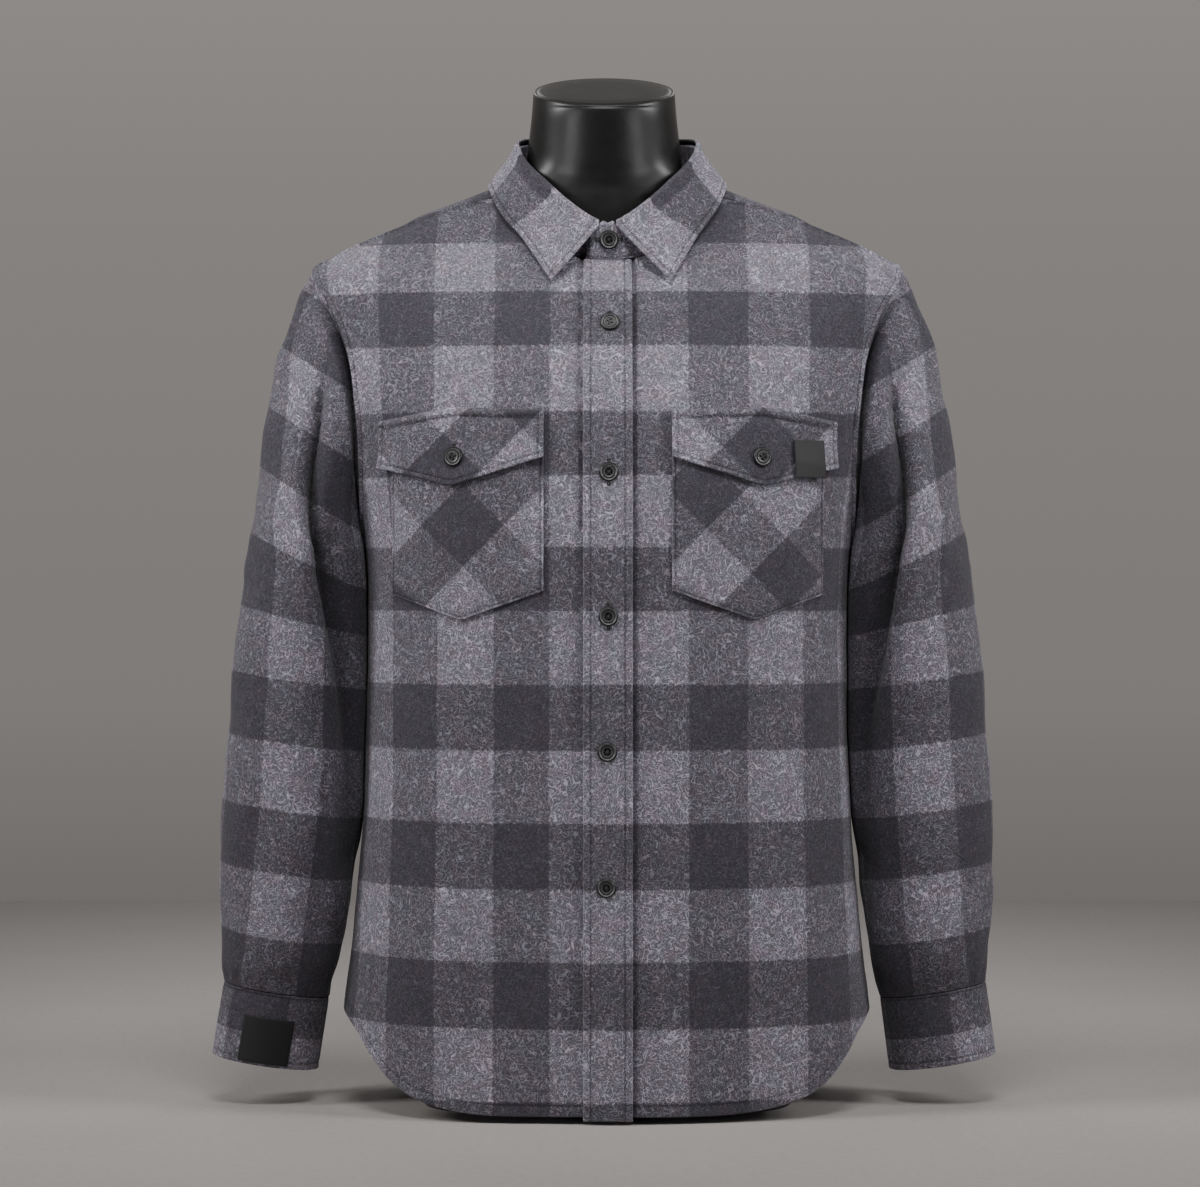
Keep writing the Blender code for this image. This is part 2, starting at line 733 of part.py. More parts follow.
def cuff_place(turn, v, out):
    """A point `out` outside the cuff."""
    row = [top + (bottom - top) * v for top, bottom in zip(CUFF_TOP, CUFF_BOTTOM)]
    around = ring(row, turn + 1) - ring(row, turn - 1)
    axis = ring(CUFF_BOTTOM, turn) - ring(CUFF_TOP, turn)
    normal = around.cross(axis).normalized()
    return ring(row, turn) + normal * out


def lap_depth(run):
    """How far a band lies under its own outer end, `run` degrees along from that end."""
    return min(max((run - LAP_FROM) / (LAP_DEEP - LAP_FROM), 0.0), 1.0) * (BAND + LAP_GAP)


def cuff(side, name):
    """A cuff: a band whose inner end runs on under its outer end."""
    def place(u, v, out):
        run = (360 + CUFF_LAP) * u
        return cuff_place(CUFF_LAP_AT - run, v, out - lap_depth(run))

    wall(name, swung(place, side), CUFF_COLUMNS, 2, BAND, sewn="")


def sleeve_placket(side, name):
    """The strip that finishes the slit at the back of the sleeve."""
    middle = CUFF_LAP_AT - PLACKET_HALF_TURN

    def place(u, v, out):
        turn = middle + PLACKET_HALF_TURN * (2 * u - 1)
        t = turn / 360 * len(ARMHOLE) - 0.5
        return sleeve_place(t, PLACKET_TOP + (PLACKET_BOTTOM - PLACKET_TOP) * v, out + LAID + CLOTH)

    wall(name, swung(place, side), 3, 8, CLOTH, sewn="")


# ---------------------------------------------------------------- collar

def fold_line(turn):
    """A point on the line where the collar turns over, 0 at the centre front."""
    angle = radians(turn)
    height = blend(FOLD, abs(turn) if abs(turn) <= 180 else 360 - abs(turn))[0]
    return Vector((STAND_BACK * sin(angle), STAND_MIDDLE - STAND_DEEP * cos(angle), height))


def neck_edge(turn):
    """The neckline as a point."""
    around, z = neckline(turn if turn <= 180 else turn - 360)
    return body(around, z)


def stand_place(turn, v, out):
    """A point `out` outside the collar stand, v from 0 at the fold to 1 at the neckline."""
    def spine(angle, w):
        top = fold_line(angle) - Vector((0, 0, SEAM * 2))
        return top.lerp(neck_edge(angle) + Vector((0, 0, SEAM)), w)

    around = spine(turn + 1, v) - spine(turn - 1, v)
    normal = (spine(turn, 1) - spine(turn, 0)).cross(around).normalized()
    return spine(turn, v) + normal * out


def collar_stand():
    """The band round the neck; its left end laps over its right end."""
    half = under_angles(-STAND_LAP) + neck_angles()
    behind = (360 - 2 * NECK_CORNER) / YOKE_NECK_STEPS
    middle = [NECK_CORNER + behind * i for i in range(1, YOKE_NECK_STEPS)]
    angles = half + middle + [360 - angle for angle in reversed(half)]

    def place(u, v, out):
        turn = pick(angles, u * (len(angles) - 1))
        return stand_place(turn, v, out - lap_depth(turn + STAND_LAP))

    wall("collar_stand", place, len(angles) - 1, 2, BAND, sewn="")


def collar_edge(turn):
    """A point on the collar's outer edge."""
    half = turn if turn <= 180 else 360 - turn
    x, y, z = blend(COLLAR_EDGE, half)
    lean = COLLAR_LEAN * max(0.0, 1 - half / COLLAR_LEAN_END)
    return Vector((x + lean, y, z)) if turn <= 180 else Vector((lean - x, y, z))


def collar_skin(turn, v):
    """The collar's outer face, v from 0 inside the stand's top, over the roll, to 1 at the edge."""
    fold = fold_line(turn)
    outward = Vector((fold.x, fold.y - STAND_MIDDLE, 0)).normalized()
    middle = fold - outward * BAND / 2
    first, last = COLLAR_ROLL_TURN
    share = min(v / COLLAR_ROLL_SHARE, 1.0)
    angle = radians(first + (last - first) * share)
    roll = middle + (outward * cos(angle) + Vector((0, 0, sin(angle)))) * COLLAR_ROLL
    if v <= COLLAR_ROLL_SHARE:
        return roll
    s = (v - COLLAR_ROLL_SHARE) / (1 - COLLAR_ROLL_SHARE)
    end = collar_edge(turn)
    drop = end - roll
    down = Vector((0, 0, -1)) * drop.length * COLLAR_START
    return (roll * (2 * s**3 - 3 * s**2 + 1) + down * (s**3 - 2 * s**2 + s)
            + end * (3 * s**2 - 2 * s**3) + drop * COLLAR_END * (s**3 - s**2))


def collar_fall():
    """The turned-down collar, from one point round the neck to the other."""
    first = COLLAR_ENDS
    whole = 360 - 2 * COLLAR_ENDS

    def place(u, v, out):
        turn = first + whole * u
        around = collar_skin(min(turn + 0.5, first + whole), v) - collar_skin(max(turn - 0.5, first), v)
        low, high = max(v - 0.01, 0.0), min(v + 0.01, 1.0)
        normal = (collar_skin(turn, high) - collar_skin(turn, low)).cross(around).normalized()
        return collar_skin(turn, v) + normal * out

    wall("collar_fall", place, COLLAR_COLUMNS, COLLAR_ROWS, BAND - SEAM, sewn="")


# ---------------------------------------------------------------- what lies on the fronts

def on_front(x, z, lift, out=0.0):
    """A point `out` from the face of a piece that stands `lift` off the front.

    The point of that face itself is at x and z as seen from the front.
    """
    turn, height = turn_at(x, z), z
    for _ in range(3):
        away = facing(turn, height) * lift
        height = z - away.z
        turn = turn_at(x - away.x, height)
    return body(turn, height, lift + out)


def bent(values, point, x):
    """A height that runs straight from the inner edge to the point and on to the outer edge."""
    inner, tip, outer = values
    x_in, x_tip, x_out = point
    if x <= x_tip:
        return inner + (tip - inner) * (x - x_in) / (x_tip - x_in)
    return tip + (outer - tip) * (x - x_tip) / (x_out - x_tip)


def placket():
    """The button band, from the collar stand to just below the hem."""
    def place(u, v, out):
        x = PLACKET_EDGES[0] + (PLACKET_EDGES[1] - PLACKET_EDGES[0]) * u
        z = fly_height(v, *PLACKET_ENDS)
        return on_front(x, z, LAID + BAND, out)

    wall("placket", place, 4, ARM_FRONT_STEPS + SIDE_STEPS, BAND, sewn="")


def pocket(side, name):
    """A chest pocket with a pointed bottom."""
    def place(u, v, out):
        x = across(POCKET_X, u)
        low = bent(POCKET_LOW, POCKET_X, x)
        return on_front(x, POCKET_TOP + (low - POCKET_TOP) * v, LAID + CLOTH, out)

    wall(name, mirrored(place, side), 8, 7, CLOTH, sewn="")


def across(edges, u):
    """x for u, with the point at u = 0.5."""
    inner, tip, outer = edges
    return inner + (tip - inner) * 2 * u if u <= 0.5 else tip + (outer - tip) * (2 * u - 1)


def flap_spot(u, v):
    """x and z on a flap."""
    x = across(FLAP_X, u)
    high = bent(FLAP_TOP, FLAP_X, x)
    return x, high + (bent(FLAP_LOW, FLAP_X, x) - high) * v


def flap(side, name):
    """A pointed pocket flap, lying over the pocket."""
    def place(u, v, out):
        x, z = flap_spot(u, v)
        return on_front(x, z, FLAP_OUT, out)

    wall(name, mirrored(place, side), 8, 4, BAND, sewn="")


def flap_label():
    """The bare woven label on the left flap."""
    def place(u, v, out):
        x = FLAP_LABEL_X[0] + (FLAP_LABEL_X[1] - FLAP_LABEL_X[0]) * u
        z = FLAP_LABEL_Z[0] + (FLAP_LABEL_Z[1] - FLAP_LABEL_Z[0]) * v
        return on_front(x, z, FLAP_OUT + ON_TOP + LABEL, out)

    wall("flap_label", place, 2, 2, LABEL, "label", "")


def cuff_label():
    """The bare woven label on the right cuff."""
    def place(u, v, out):
        turn = CUFF_LABEL_TURNS[0] + (CUFF_LABEL_TURNS[1] - CUFF_LABEL_TURNS[0]) * u
        row = CUFF_LABEL_ROWS[0] + (CUFF_LABEL_ROWS[1] - CUFF_LABEL_ROWS[0]) * v
        return cuff_place(turn, row, out + LAID + LABEL)

    wall("cuff_label", swung(place, -1), 5, 2, LABEL, "label", "")


# ---------------------------------------------------------------- buttons

def button_mesh():
    """One button, turned from its profile: flat below, dished above within a round rim."""
    profile = (
        (0.0, BUTTON_THICK * 0.6),
        (BUTTON * 0.62, BUTTON_THICK * 0.6),
        (BUTTON * 0.80, BUTTON_THICK),
        (BUTTON, BUTTON_THICK * 0.6),
        (BUTTON * 0.86, 0.0),
        (0.0, 0.0),
    )
    mesh = bmesh.new()
    verts = [mesh.verts.new((radius, 0.0, height)) for radius, height in profile]
    edges = [mesh.edges.new(pair) for pair in zip(verts, verts[1:])]
    bmesh.ops.spin(mesh, geom=verts + edges, axis=(0, 0, 1), cent=(0, 0, 0),
                   angle=2 * pi, steps=16, use_merge=True)
    bmesh.ops.remove_doubles(mesh, verts=mesh.verts[:], dist=1e-6)
    return mesh


def button(name, centre, normal):
    """A button with its back at `centre`, facing along `normal`."""
    obj = add_mesh(name, button_mesh(), "button")
    obj.location = centre
    obj.rotation_mode = "QUATERNION"
    obj.rotation_quaternion = normal.to_track_quat("Z", "Y")


def buttons():
    """Every button: stand, placket, flaps and cuffs."""
    def on(name, place, turn, v):
        centre = place(turn, v, ON_TOP)
        button(name, centre, (place(turn, v, 4 * ON_TOP) - centre).normalized())

    on("button_stand", stand_place, STAND_BUTTON_TURN, STAND_BUTTON)
    for index, (x, z) in enumerate(zip(BUTTON_X, BUTTON_HEIGHTS), 1):
        button(f"button_{index}", on_front(x, z, LAID + BAND + SEAM), facing(turn_at(x, z), z))
    for side, word in ((1, "left"), (-1, "right")):
        x, z = FLAP_BUTTON
        centre = on_front(x, z, FLAP_OUT + ON_TOP)
        normal = facing(turn_at(x, z), z)
        button(f"button_flap_{word}", Vector((centre.x * side, centre.y, centre.z)),
               Vector((normal.x * side, normal.y, normal.z)))
        on(f"button_cuff_{word}", swung(cuff_place, side), CUFF_LAP_AT - CUFF_LAP * CUFF_BUTTON, 0.5)


# ---------------------------------------------------------------- dress form

def form_rings(turns):
    """The form's rings from the bottom up: waist and chest, shoulders under the yoke, neck, cap."""
    for z, wide, front, back in FORM:
        yield [Vector((*oval(turn, wide, front, back, 0.0, BODY_SQUARE), z)) for turn in turns]
    for z in FORM_DOME:
        points = [body(turn, z, -CLOTH - FORM_SEAT) for turn in turns]
        yield [Vector((min(max(p.x, -FORM_END), FORM_END), p.y, p.z)) for p in points]
    for z, *row in NECK:
        yield [Vector((*oval(turn, *row), z)) + Vector((NECK_SHIFT, 0, 0)) for turn in turns]
    lean = Matrix.Rotation(radians(CAP_TILT), 4, "X")
    pivot = Vector((NECK_SHIFT, NECK[-1][4], CAP_MIDDLE))
    for share, rise in CAP_RIM:
        flat = [Vector((x * share, y * share, rise)) for x, y in (
            (CAP_WIDE * sin(radians(turn)), -CAP_DEEP * cos(radians(turn))) for turn in turns)]
        yield [pivot + lean @ point for point in flat]


def dress_form():
    """A closed torso with a neck."""
    turns = [360 * i / FORM_STEPS for i in range(FORM_STEPS)]
    mesh = bmesh.new()
    loops = [[mesh.verts.new(point) for point in points] for points in form_rings(turns)]
    for below, above in zip(loops, loops[1:]):
        for i in range(FORM_STEPS):
            j = (i + 1) % FORM_STEPS
            mesh.faces.new((below[i], below[j], above[j], above[i]))
    mesh.faces.new(loops[0][::-1])
    mesh.faces.new(loops[-1])
    add_mesh("dress_form", mesh, "form")


# ---------------------------------------------------------------- assembly

def build():
    """Every piece of the shirt, and the form it is worn on."""
    back()
    yoke()
    collar_stand()
    collar_fall()
    placket()
    flap_label()
    cuff_label()
    for side, word in ((1, "left"), (-1, "right")):
        front(side, f"front_{word}")
        sleeve(side, f"sleeve_{word}")
        sleeve_placket(side, f"sleeve_placket_{word}")
        cuff(side, f"cuff_{word}")
        pocket(side, f"pocket_{word}")
        flap(side, f"flap_{word}")
    buttons()
    dress_form()


build()
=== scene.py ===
from math import cos, pi, radians

import bmesh
import bpy
import numpy as np
from mathutils import Matrix, Vector


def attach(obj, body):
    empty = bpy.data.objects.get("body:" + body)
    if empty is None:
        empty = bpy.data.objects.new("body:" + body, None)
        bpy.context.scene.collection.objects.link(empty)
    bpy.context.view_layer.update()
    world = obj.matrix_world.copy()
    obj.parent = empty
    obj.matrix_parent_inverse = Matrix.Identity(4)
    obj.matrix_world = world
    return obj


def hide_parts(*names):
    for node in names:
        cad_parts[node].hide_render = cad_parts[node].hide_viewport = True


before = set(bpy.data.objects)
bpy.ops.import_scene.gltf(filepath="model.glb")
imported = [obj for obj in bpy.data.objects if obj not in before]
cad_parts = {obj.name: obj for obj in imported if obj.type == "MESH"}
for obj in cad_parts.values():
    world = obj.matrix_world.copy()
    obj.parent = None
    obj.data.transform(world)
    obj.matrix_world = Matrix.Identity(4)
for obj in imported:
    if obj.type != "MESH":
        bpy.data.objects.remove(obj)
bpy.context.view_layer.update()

# ---------------------------------------------------------------- the camera
# A level camera with a long lens, at the height of the shirt's middle. It stands three metres in
# front of the shirt, a little to the viewer's left of its centre.


def placed(name, data):
    """A new object in the scene."""
    obj = bpy.data.objects.new(name, data)
    bpy.context.scene.collection.objects.link(obj)
    return obj


eye = bpy.data.cameras.new("camera")
eye.sensor_width = 36.0
eye.lens = 109.76
camera = placed("camera", eye)
camera.location = (-0.00615, -3.0, 0.416)
camera.rotation_euler = (pi / 2, 0, 0)
bpy.context.scene.camera = camera

# ---------------------------------------------------------------- the fronts
# Two panels of brushed cotton flannel in a yarn-dyed check, joined to the yoke, the back and the
# sleeves. The hem is turned up twice and stitched, and the armhole is felled on to the body.

CLOTH = 0.0016            # one layer of brushed flannel
BAND = 0.0026             # two layers with interfacing: cuffs, collar, placket
SEAM = 0.0003             # gap between two sewn pieces
LAID = 0.0009             # gap under a piece that lies on a panel
BODY_SQUARE = 2.35        # 2 is an ellipse, more is squarer
TORSO = (                 # height, half width, depth in front and behind, middle
    (0.000, 0.2195, 0.1370, 0.1340, 0.0), (0.072, 0.2157, 0.1370, 0.1330, 0.0),
    (0.136, 0.2085, 0.1365, 0.1300, 0.0), (0.206, 0.2023, 0.1360, 0.1265, 0.0),
    (0.271, 0.1976, 0.1355, 0.1240, 0.0), (0.345, 0.1960, 0.1350, 0.1230, 0.0),
    (0.410, 0.1958, 0.1355, 0.1240, 0.0), (0.445, 0.1975, 0.1365, 0.1250, 0.0),
    (0.476, 0.2015, 0.1360, 0.1255, 0.0), (0.513, 0.2095, 0.1325, 0.1265, 0.0),
    (0.550, 0.2190, 0.1255, 0.1265, 0.0), (0.575, 0.2260, 0.1180, 0.1255, 0.001),
    (0.600, 0.2320, 0.1085, 0.1230, 0.002), (0.630, 0.2380, 0.0930, 0.1190, 0.004),
    (0.655, 0.2415, 0.0775, 0.1150, 0.006), (0.681, 0.2415, 0.0555, 0.1090, 0.008),
    (0.690, 0.2260, 0.0475, 0.1070, 0.008), (0.6995, 0.2090, 0.0405, 0.1050, 0.008),
    (0.7145, 0.1750, 0.0325, 0.1000, 0.008), (0.7265, 0.1530, 0.0265, 0.0940, 0.008),
    (0.737, 0.1250, 0.0210, 0.0880, 0.008), (0.748, 0.0960, 0.0135, 0.0800, 0.008),
    (0.757, 0.0720, 0.0060, 0.0700, 0.008),
)
TORSO_TIP = 0.2415        # its greatest half width
FLY = 0.0185              # the right front runs this far past the centre, under the placket
PLACKET_HALF = 0.0195     # half the placket's width
FLY_MIDDLE = 0.43         # height at the centre front of the row that starts at the armpit
NECK_WIDE = 0.0815        # neckline, an oval seen from above
NECK_DEEP = 0.0625
NECK_MIDDLE = 0.010
NECK_CORNER = 68.2        # degrees round the oval, from the front, to the yoke's front seam
YOKE_FRONT = (            # share of the yoke's front seam past the neck, turn and height
    (0.25, 55.0, 0.7340), (0.5, 70.0, 0.7230), (0.75, 79.0, 0.7080), (1.0, 84.0, 0.6815),
)
ARMHOLE = (               # turn and height, down the front, up the back and over the shoulder
    (84.0, 0.6815), (73.5, 0.662), (64.5, 0.636), (61.0, 0.605), (62.0, 0.573), (65.2, 0.541),
    (71.0, 0.509), (79.5, 0.476), (90.0, 0.445), (97.5, 0.476), (104.0, 0.508), (108.0, 0.540),
    (110.0, 0.573), (110.5, 0.605), (109.0, 0.635), (103.0, 0.662), (93.0, 0.680),
)
ARMPIT = 8                # rows of ARMHOLE at its lowest point
BACK_SEAM = 14            # and at the end of the yoke's back seam
HEM = (                   # turn from the centre front or back, and height
    (0.0, 0.0058), (20.0, 0.0060), (30.0, 0.0088), (38.0, 0.0136), (44.0, 0.0193), (50.0, 0.0282),
    (56.0, 0.0402), (61.0, 0.0508), (66.0, 0.0610), (72.0, 0.0680), (80.0, 0.0745), (90.0, 0.0790),
)
NECK_SHARE = {1: 6 / 14, -1: 0.5}   # share of the left and right front's width at the neckline
ARM_SHARE = 10 / 22       # share of a front's length above the armpit
PANEL_STEP = 0.004        # distance between a panel's grid lines
ROUND = 0.0011            # radius of a cut or folded edge
ROLLED = 0.42             # share of the thickness by which each face rolls in there
HEM_ROW, ARM_ROW = 0.0090, 0.0080   # rows of stitches from the hem and from the armhole
STITCH_DIP = (0.0011, 0.00045)      # the cloth sinks at a row: spread, depth
PUCKER = (0.006, 0.00025)           # and puckers beside it
BESIDE_PLACKET = {                  # it also sinks beside the placket: place, spread, height
    1: (0.0010, 0.0016, -0.0032), -1: (0.0010, 0.0016, -0.0026),
}
BESIDE_LINES = {                    # where the grid is close for that
    1: np.arange(0.0, 0.0075, 0.0011) + 0.0012, -1: np.arange(0.0, 0.0140, 0.0013) + 0.0315,
}
ARM_FELL = (0.0038, 0.0028, 0.0026)     # the ridges of the felled armhole and of the yoke's seam
YOKE_FELL = (0.0034, 0.0024, 0.0020)
FELL_FADE = 0.05          # share of the armhole over which its ridge comes up at the shoulder
SAG, SAG_FINE = (0.085, 3, 0.0011), (0.030, 4, 0.00022)  # unevenness: pitch, seed, height
CALM = (0.60, 0.30, 0.15)           # it fades from 0.60 - 0.30 high to 0.60, down to this share
DRAPE = (46, 1.1, 9, 0.34, 0.0016)  # folds: how close, how far and fast they wander, top, depth
WEFT = (                  # height on the body, and check bands down the cloth: even is light
    (-0.035, 14), (0.0171, 13), (0.0743, 12), (0.1267, 11), (0.1838, 10), (0.2355, 9), (0.2926, 8),
    (0.3443, 7), (0.4023, 6), (0.4524, 5), (0.5089, 4), (0.5596, 3), (0.6129, 2), (0.658, 1),
    (0.700, 0), (0.735, -1), (0.780, -2),
)
WARP_LEFT = (             # distance round from the centre front, and check bands across
    (0.016, 0), (0.064, 1), (0.1125, 2), (0.1637, 3), (0.2135, 4), (0.262, 5), (0.310, 6),
)
WARP_RIGHT = (
    (-0.283, -5), (-0.235, -4), (-0.187, -3), (-0.1396, -2), (-0.0905, -1), (-0.0461, 0),
    (0.026, 1),
)


def curve(start, way, end, way_end, t):
    """Smoothly from start to end, t from 0 to 1, setting out and arriving by two ways."""
    return (start * (2 * t**3 - 3 * t**2 + 1) + way * (t**3 - 2 * t**2 + t)
            + end * (3 * t**2 - 2 * t**3) + way_end * (t**3 - t**2))


def blend(rows, at):
    """The other columns of a table where its first is `at`, by a smooth curve through its rows."""
    rows = np.asarray(rows, float)
    keys, values = rows[:, 0], rows[:, 1:]
    at = np.clip(np.asarray(at, float), keys[0], keys[-1])
    low = np.clip(np.searchsorted(keys, at, side="right") - 1, 0, len(keys) - 2)
    order = np.arange(len(keys))
    before, after = np.maximum(order - 1, 0), np.minimum(order + 1, len(keys) - 1)
    slopes = (values[after] - values[before]) / (keys[after] - keys[before])[:, None]
    step = (keys[low + 1] - keys[low])[..., None]
    ways = slopes[low] * step, slopes[low + 1] * step
    t = (at - keys[low])[..., None] / step
    return columns(curve(values[low], ways[0], values[low + 1], ways[1], t))


def straight(rows, at):
    """The second column of a table where its first is `at`, by straight lines."""
    return np.interp(at, *zip(*rows))


def ramp(at, start, end):
    """0 up to start, 1 from end on, and a straight line between them."""
    return np.clip((at - start) / (end - start), 0, 1)


def swell(at, middle, spread, height, power=2):
    """A rise of a given height round a middle, which fades out over a spread."""
    return np.exp(-(np.abs(at - middle) / spread) ** power) * height


def points(*parts):
    """Points from their columns."""
    return np.stack(np.broadcast_arrays(*parts), -1)


def columns(spots):
    """The columns of points."""
    return np.moveaxis(spots, -1, 0)


def unit(ways):
    """Directions at length 1."""
    return ways / np.maximum(np.linalg.norm(ways, axis=-1, keepdims=True), 1e-12)


def moved(spots, way, out):
    """Points moved along a way by `out`."""
    return spots + unit(way) * np.asarray(out)[..., None]


def bisect(low, high, short):
    """The values between low and high up to which short() is true."""
    for _ in range(30):
        middle = (low + high) / 2
        under = short(middle)
        low, high = np.where(under, middle, low), np.where(under, high, middle)
    return low


def oval(turn, wide, front, back, middle, square):
    """Points in plan on a squared oval, from turn 0 at its front."""
    angle = np.radians(turn)
    side, ahead = np.sin(angle), np.cos(angle)
    x = wide * np.abs(side) ** (2 / square) * np.sign(side)
    along = np.abs(ahead) ** (2 / square)
    y = np.where(ahead >= 0, middle - (front + middle) * along, middle + (back - middle) * along)
    return x, y


def skin(turn, z):
    """Points on the shirt's body, for a turn in degrees and a height."""
    return points(*oval(turn, *blend(TORSO, z), BODY_SQUARE), z)


def section(y, z):
    """The body's half width at a height, its depth on the side of y, and its middle."""
    wide, front, back, middle = blend(TORSO, z)
    return wide, np.where(y < middle, front + middle, back - middle), middle


def reach(spots):
    """How far out points lie: less than 1 within the body's skin, more than 1 outside it."""
    x, y, z = columns(spots)
    wide, deep, middle = section(y, z)
    return (np.abs(x) / wide) ** BODY_SQUARE + (np.abs(y - middle) / deep) ** BODY_SQUARE


def normal_at(spots):
    """The way the body's skin faces at points on it."""
    steps = np.eye(3) * 0.0002
    return unit(points(*(reach(spots + step) - reach(spots - step) for step in steps)))


def body(turn, z, out=0.0):
    """Points that lie `out` outside the body's skin."""
    spots = skin(turn, z)
    return moved(spots, normal_at(spots), out)


def meet(start, way, far):
    """The points on the skin along lines from points within it."""
    none = np.zeros(start.shape[:-1])
    run = bisect(none, none + far, lambda s: reach(start + way * s[..., None]) < 1)
    return start + way * run[..., None]


def turn_at(x, z):
    """The turn of the front's skin at x and z."""
    share = np.minimum(np.abs(x) / blend(TORSO, z)[0], 1.0)
    return np.degrees(np.arcsin(share ** (BODY_SQUARE / 2))) * np.sign(x)


def neckline(turn):
    """Turn and height of the neckline at an angle round its oval, 0 at the centre front."""
    angle = np.radians(turn)
    x, y = NECK_WIDE * np.sin(angle), NECK_MIDDLE - NECK_DEEP * np.cos(angle)
    z = meet(points(x, y, 0.0), np.array((0.0, 0.0, 1.0)), TORSO[-1][0])[..., 2]
    around = np.abs(turn_at(x, z))
    around = np.where(y < blend(TORSO, z)[3], around, 180 - around)
    return np.array((np.where(x >= 0, around, -around), z))


def armhole(t):
    """Turn and height on the armhole, t in rows of its table."""
    low = np.floor(t).astype(int)
    before, here, after, beyond = (np.transpose(ARMHOLE)[:, (low + k) % len(ARMHOLE)]
                                   for k in (-1, 0, 1, 2))
    return curve(here, (after - before) / 2, after, (beyond - here) / 2, t - low)


def yoke_front(t):
    """Turn and height on the yoke's front seam, 0 at the neck and 1 at the shoulder tip."""
    return blend(((0.0, *neckline(np.array(NECK_CORNER))),) + YOKE_FRONT, t)


def hem_height(turn):
    """The height of the hem, the same in front and behind."""
    turn = np.abs(turn) % 180
    return blend(HEM, np.minimum(turn, 180 - turn))[0]


def fly_height(v, top, low):
    """The height at v down the centre front, in step with the armhole and the side."""
    upper = top + (FLY_MIDDLE - top) * v / ARM_SHARE
    lower = FLY_MIDDLE + (low - FLY_MIDDLE) * (v - ARM_SHARE) / (1 - ARM_SHARE)
    return np.where(v < ARM_SHARE, upper, lower)


def side_seam(v, share, from_row):
    """Turn and height down a panel's side: the armhole, then the side seam."""
    pit = ARMHOLE[ARMPIT][1]
    seam = np.array((v * 0 + 90.0, pit + (hem_height(90.0) - pit) * ramp(v, share, 1)))
    return np.where(v < share, armhole(from_row + (ARMPIT - from_row) * ramp(v, 0, share)), seam)


def patch(left, right, top, bottom):
    """A function of u and v that fills four edges; the top's shape fades out downwards."""
    nw, ne, sw, se = (edge(np.full((1, 1), end)) for edge in (top, bottom) for end in (0.0, 1.0))

    def fill(u, v):
        upper = top(u) - (nw * (1 - u) + ne * u)
        lower = bottom(u) - (sw * (1 - u) + se * u)
        return left(v) * (1 - u) + right(v) * u + upper * (1 - v) ** 2 + lower * v**2
    return fill


def girth(turn, z):
    """The distance round the body from the centre front to a turn, at a height."""
    spots = skin(turn[..., None] * np.linspace(0, 1, 60), z[..., None])
    return np.linalg.norm(np.diff(spots, axis=-2), axis=-1).sum(-1)


def waves(spots, pitch, seed, height):
    """A gentle unevenness of a given height, `pitch` being the distance between its crests."""
    pick = np.random.default_rng(seed)
    total = np.zeros(spots.shape[:-1])
    for _ in range(7):
        way = unit(pick.normal(size=3)) * 2 * pi / (pitch * pick.uniform(0.7, 1.5))
        total += np.sin(spots @ way + pick.uniform(0, 2 * pi))
    return total / 4 * height


def body_relief(spots):
    """The soft unevenness of a panel that hangs: calm on the chest, in slight folds at the hem."""
    x, y, z = columns(spots)
    top, run, least = CALM
    calm = np.clip((top - z) / run, least, 1.0)
    close, wander, rate, high, deep = DRAPE
    drape = np.sin(x * close + wander * np.sin(z * rate)) * ramp(z, high, 0) * deep
    return waves(spots, *SAG) * calm + drape + waves(spots, *SAG_FINE)


def lines(length, step, near=()):
    """Where a grid's lines lie along `length`, from 0 to 1: evenly, and close together by its ends.

    near lists distances from both ends that get a line of their own.
    """
    extra = [ROUND * share for share in (0.0, 0.2, 0.55, 1.1)] + list(near)
    extra = sorted(extra + [length - spot for spot in extra])
    even = np.linspace(0, length, max(int(length / step), 2) + 1)
    kept = [spot for spot in even if min(abs(spot - other) for other in extra) > step * 0.3]
    return np.array(sorted(extra + kept)) / length


def stitched(*distances):
    """Grid lines on either side of rows of stitches."""
    return [spot + side for spot in distances for side in (-0.0012, 0.0, 0.0012)]


def sewing(sides, far, first=0.0, last=1.0):
    """Rows of stitches: the edges that they follow, how far from them, and along which part."""
    return [(side, far, first, last) for side in sides]


def outwards(shape):
    """Turns the faces of a closed shape outwards."""
    bmesh.ops.recalc_face_normals(shape, faces=shape.faces[:])
    if shape.calc_volume(signed=True) < 0:
        bmesh.ops.reverse_faces(shape, faces=shape.faces[:])


def meshed(name, shape):
    """A mesh of a shape that is done."""
    mesh = bpy.data.meshes.new(name)
    shape.to_mesh(mesh)
    shape.free()
    return mesh


def dressed(name, mesh, finish, sharp):
    """A piece of the part in its finish; edges past an angle in degrees stay sharp."""
    mesh.name = name
    mesh.materials.append(finish)
    mesh.shade_smooth()
    mesh.set_sharp_from_angle(angle=radians(sharp))
    piece = placed(name, mesh)
    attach(piece, "root")
    return piece


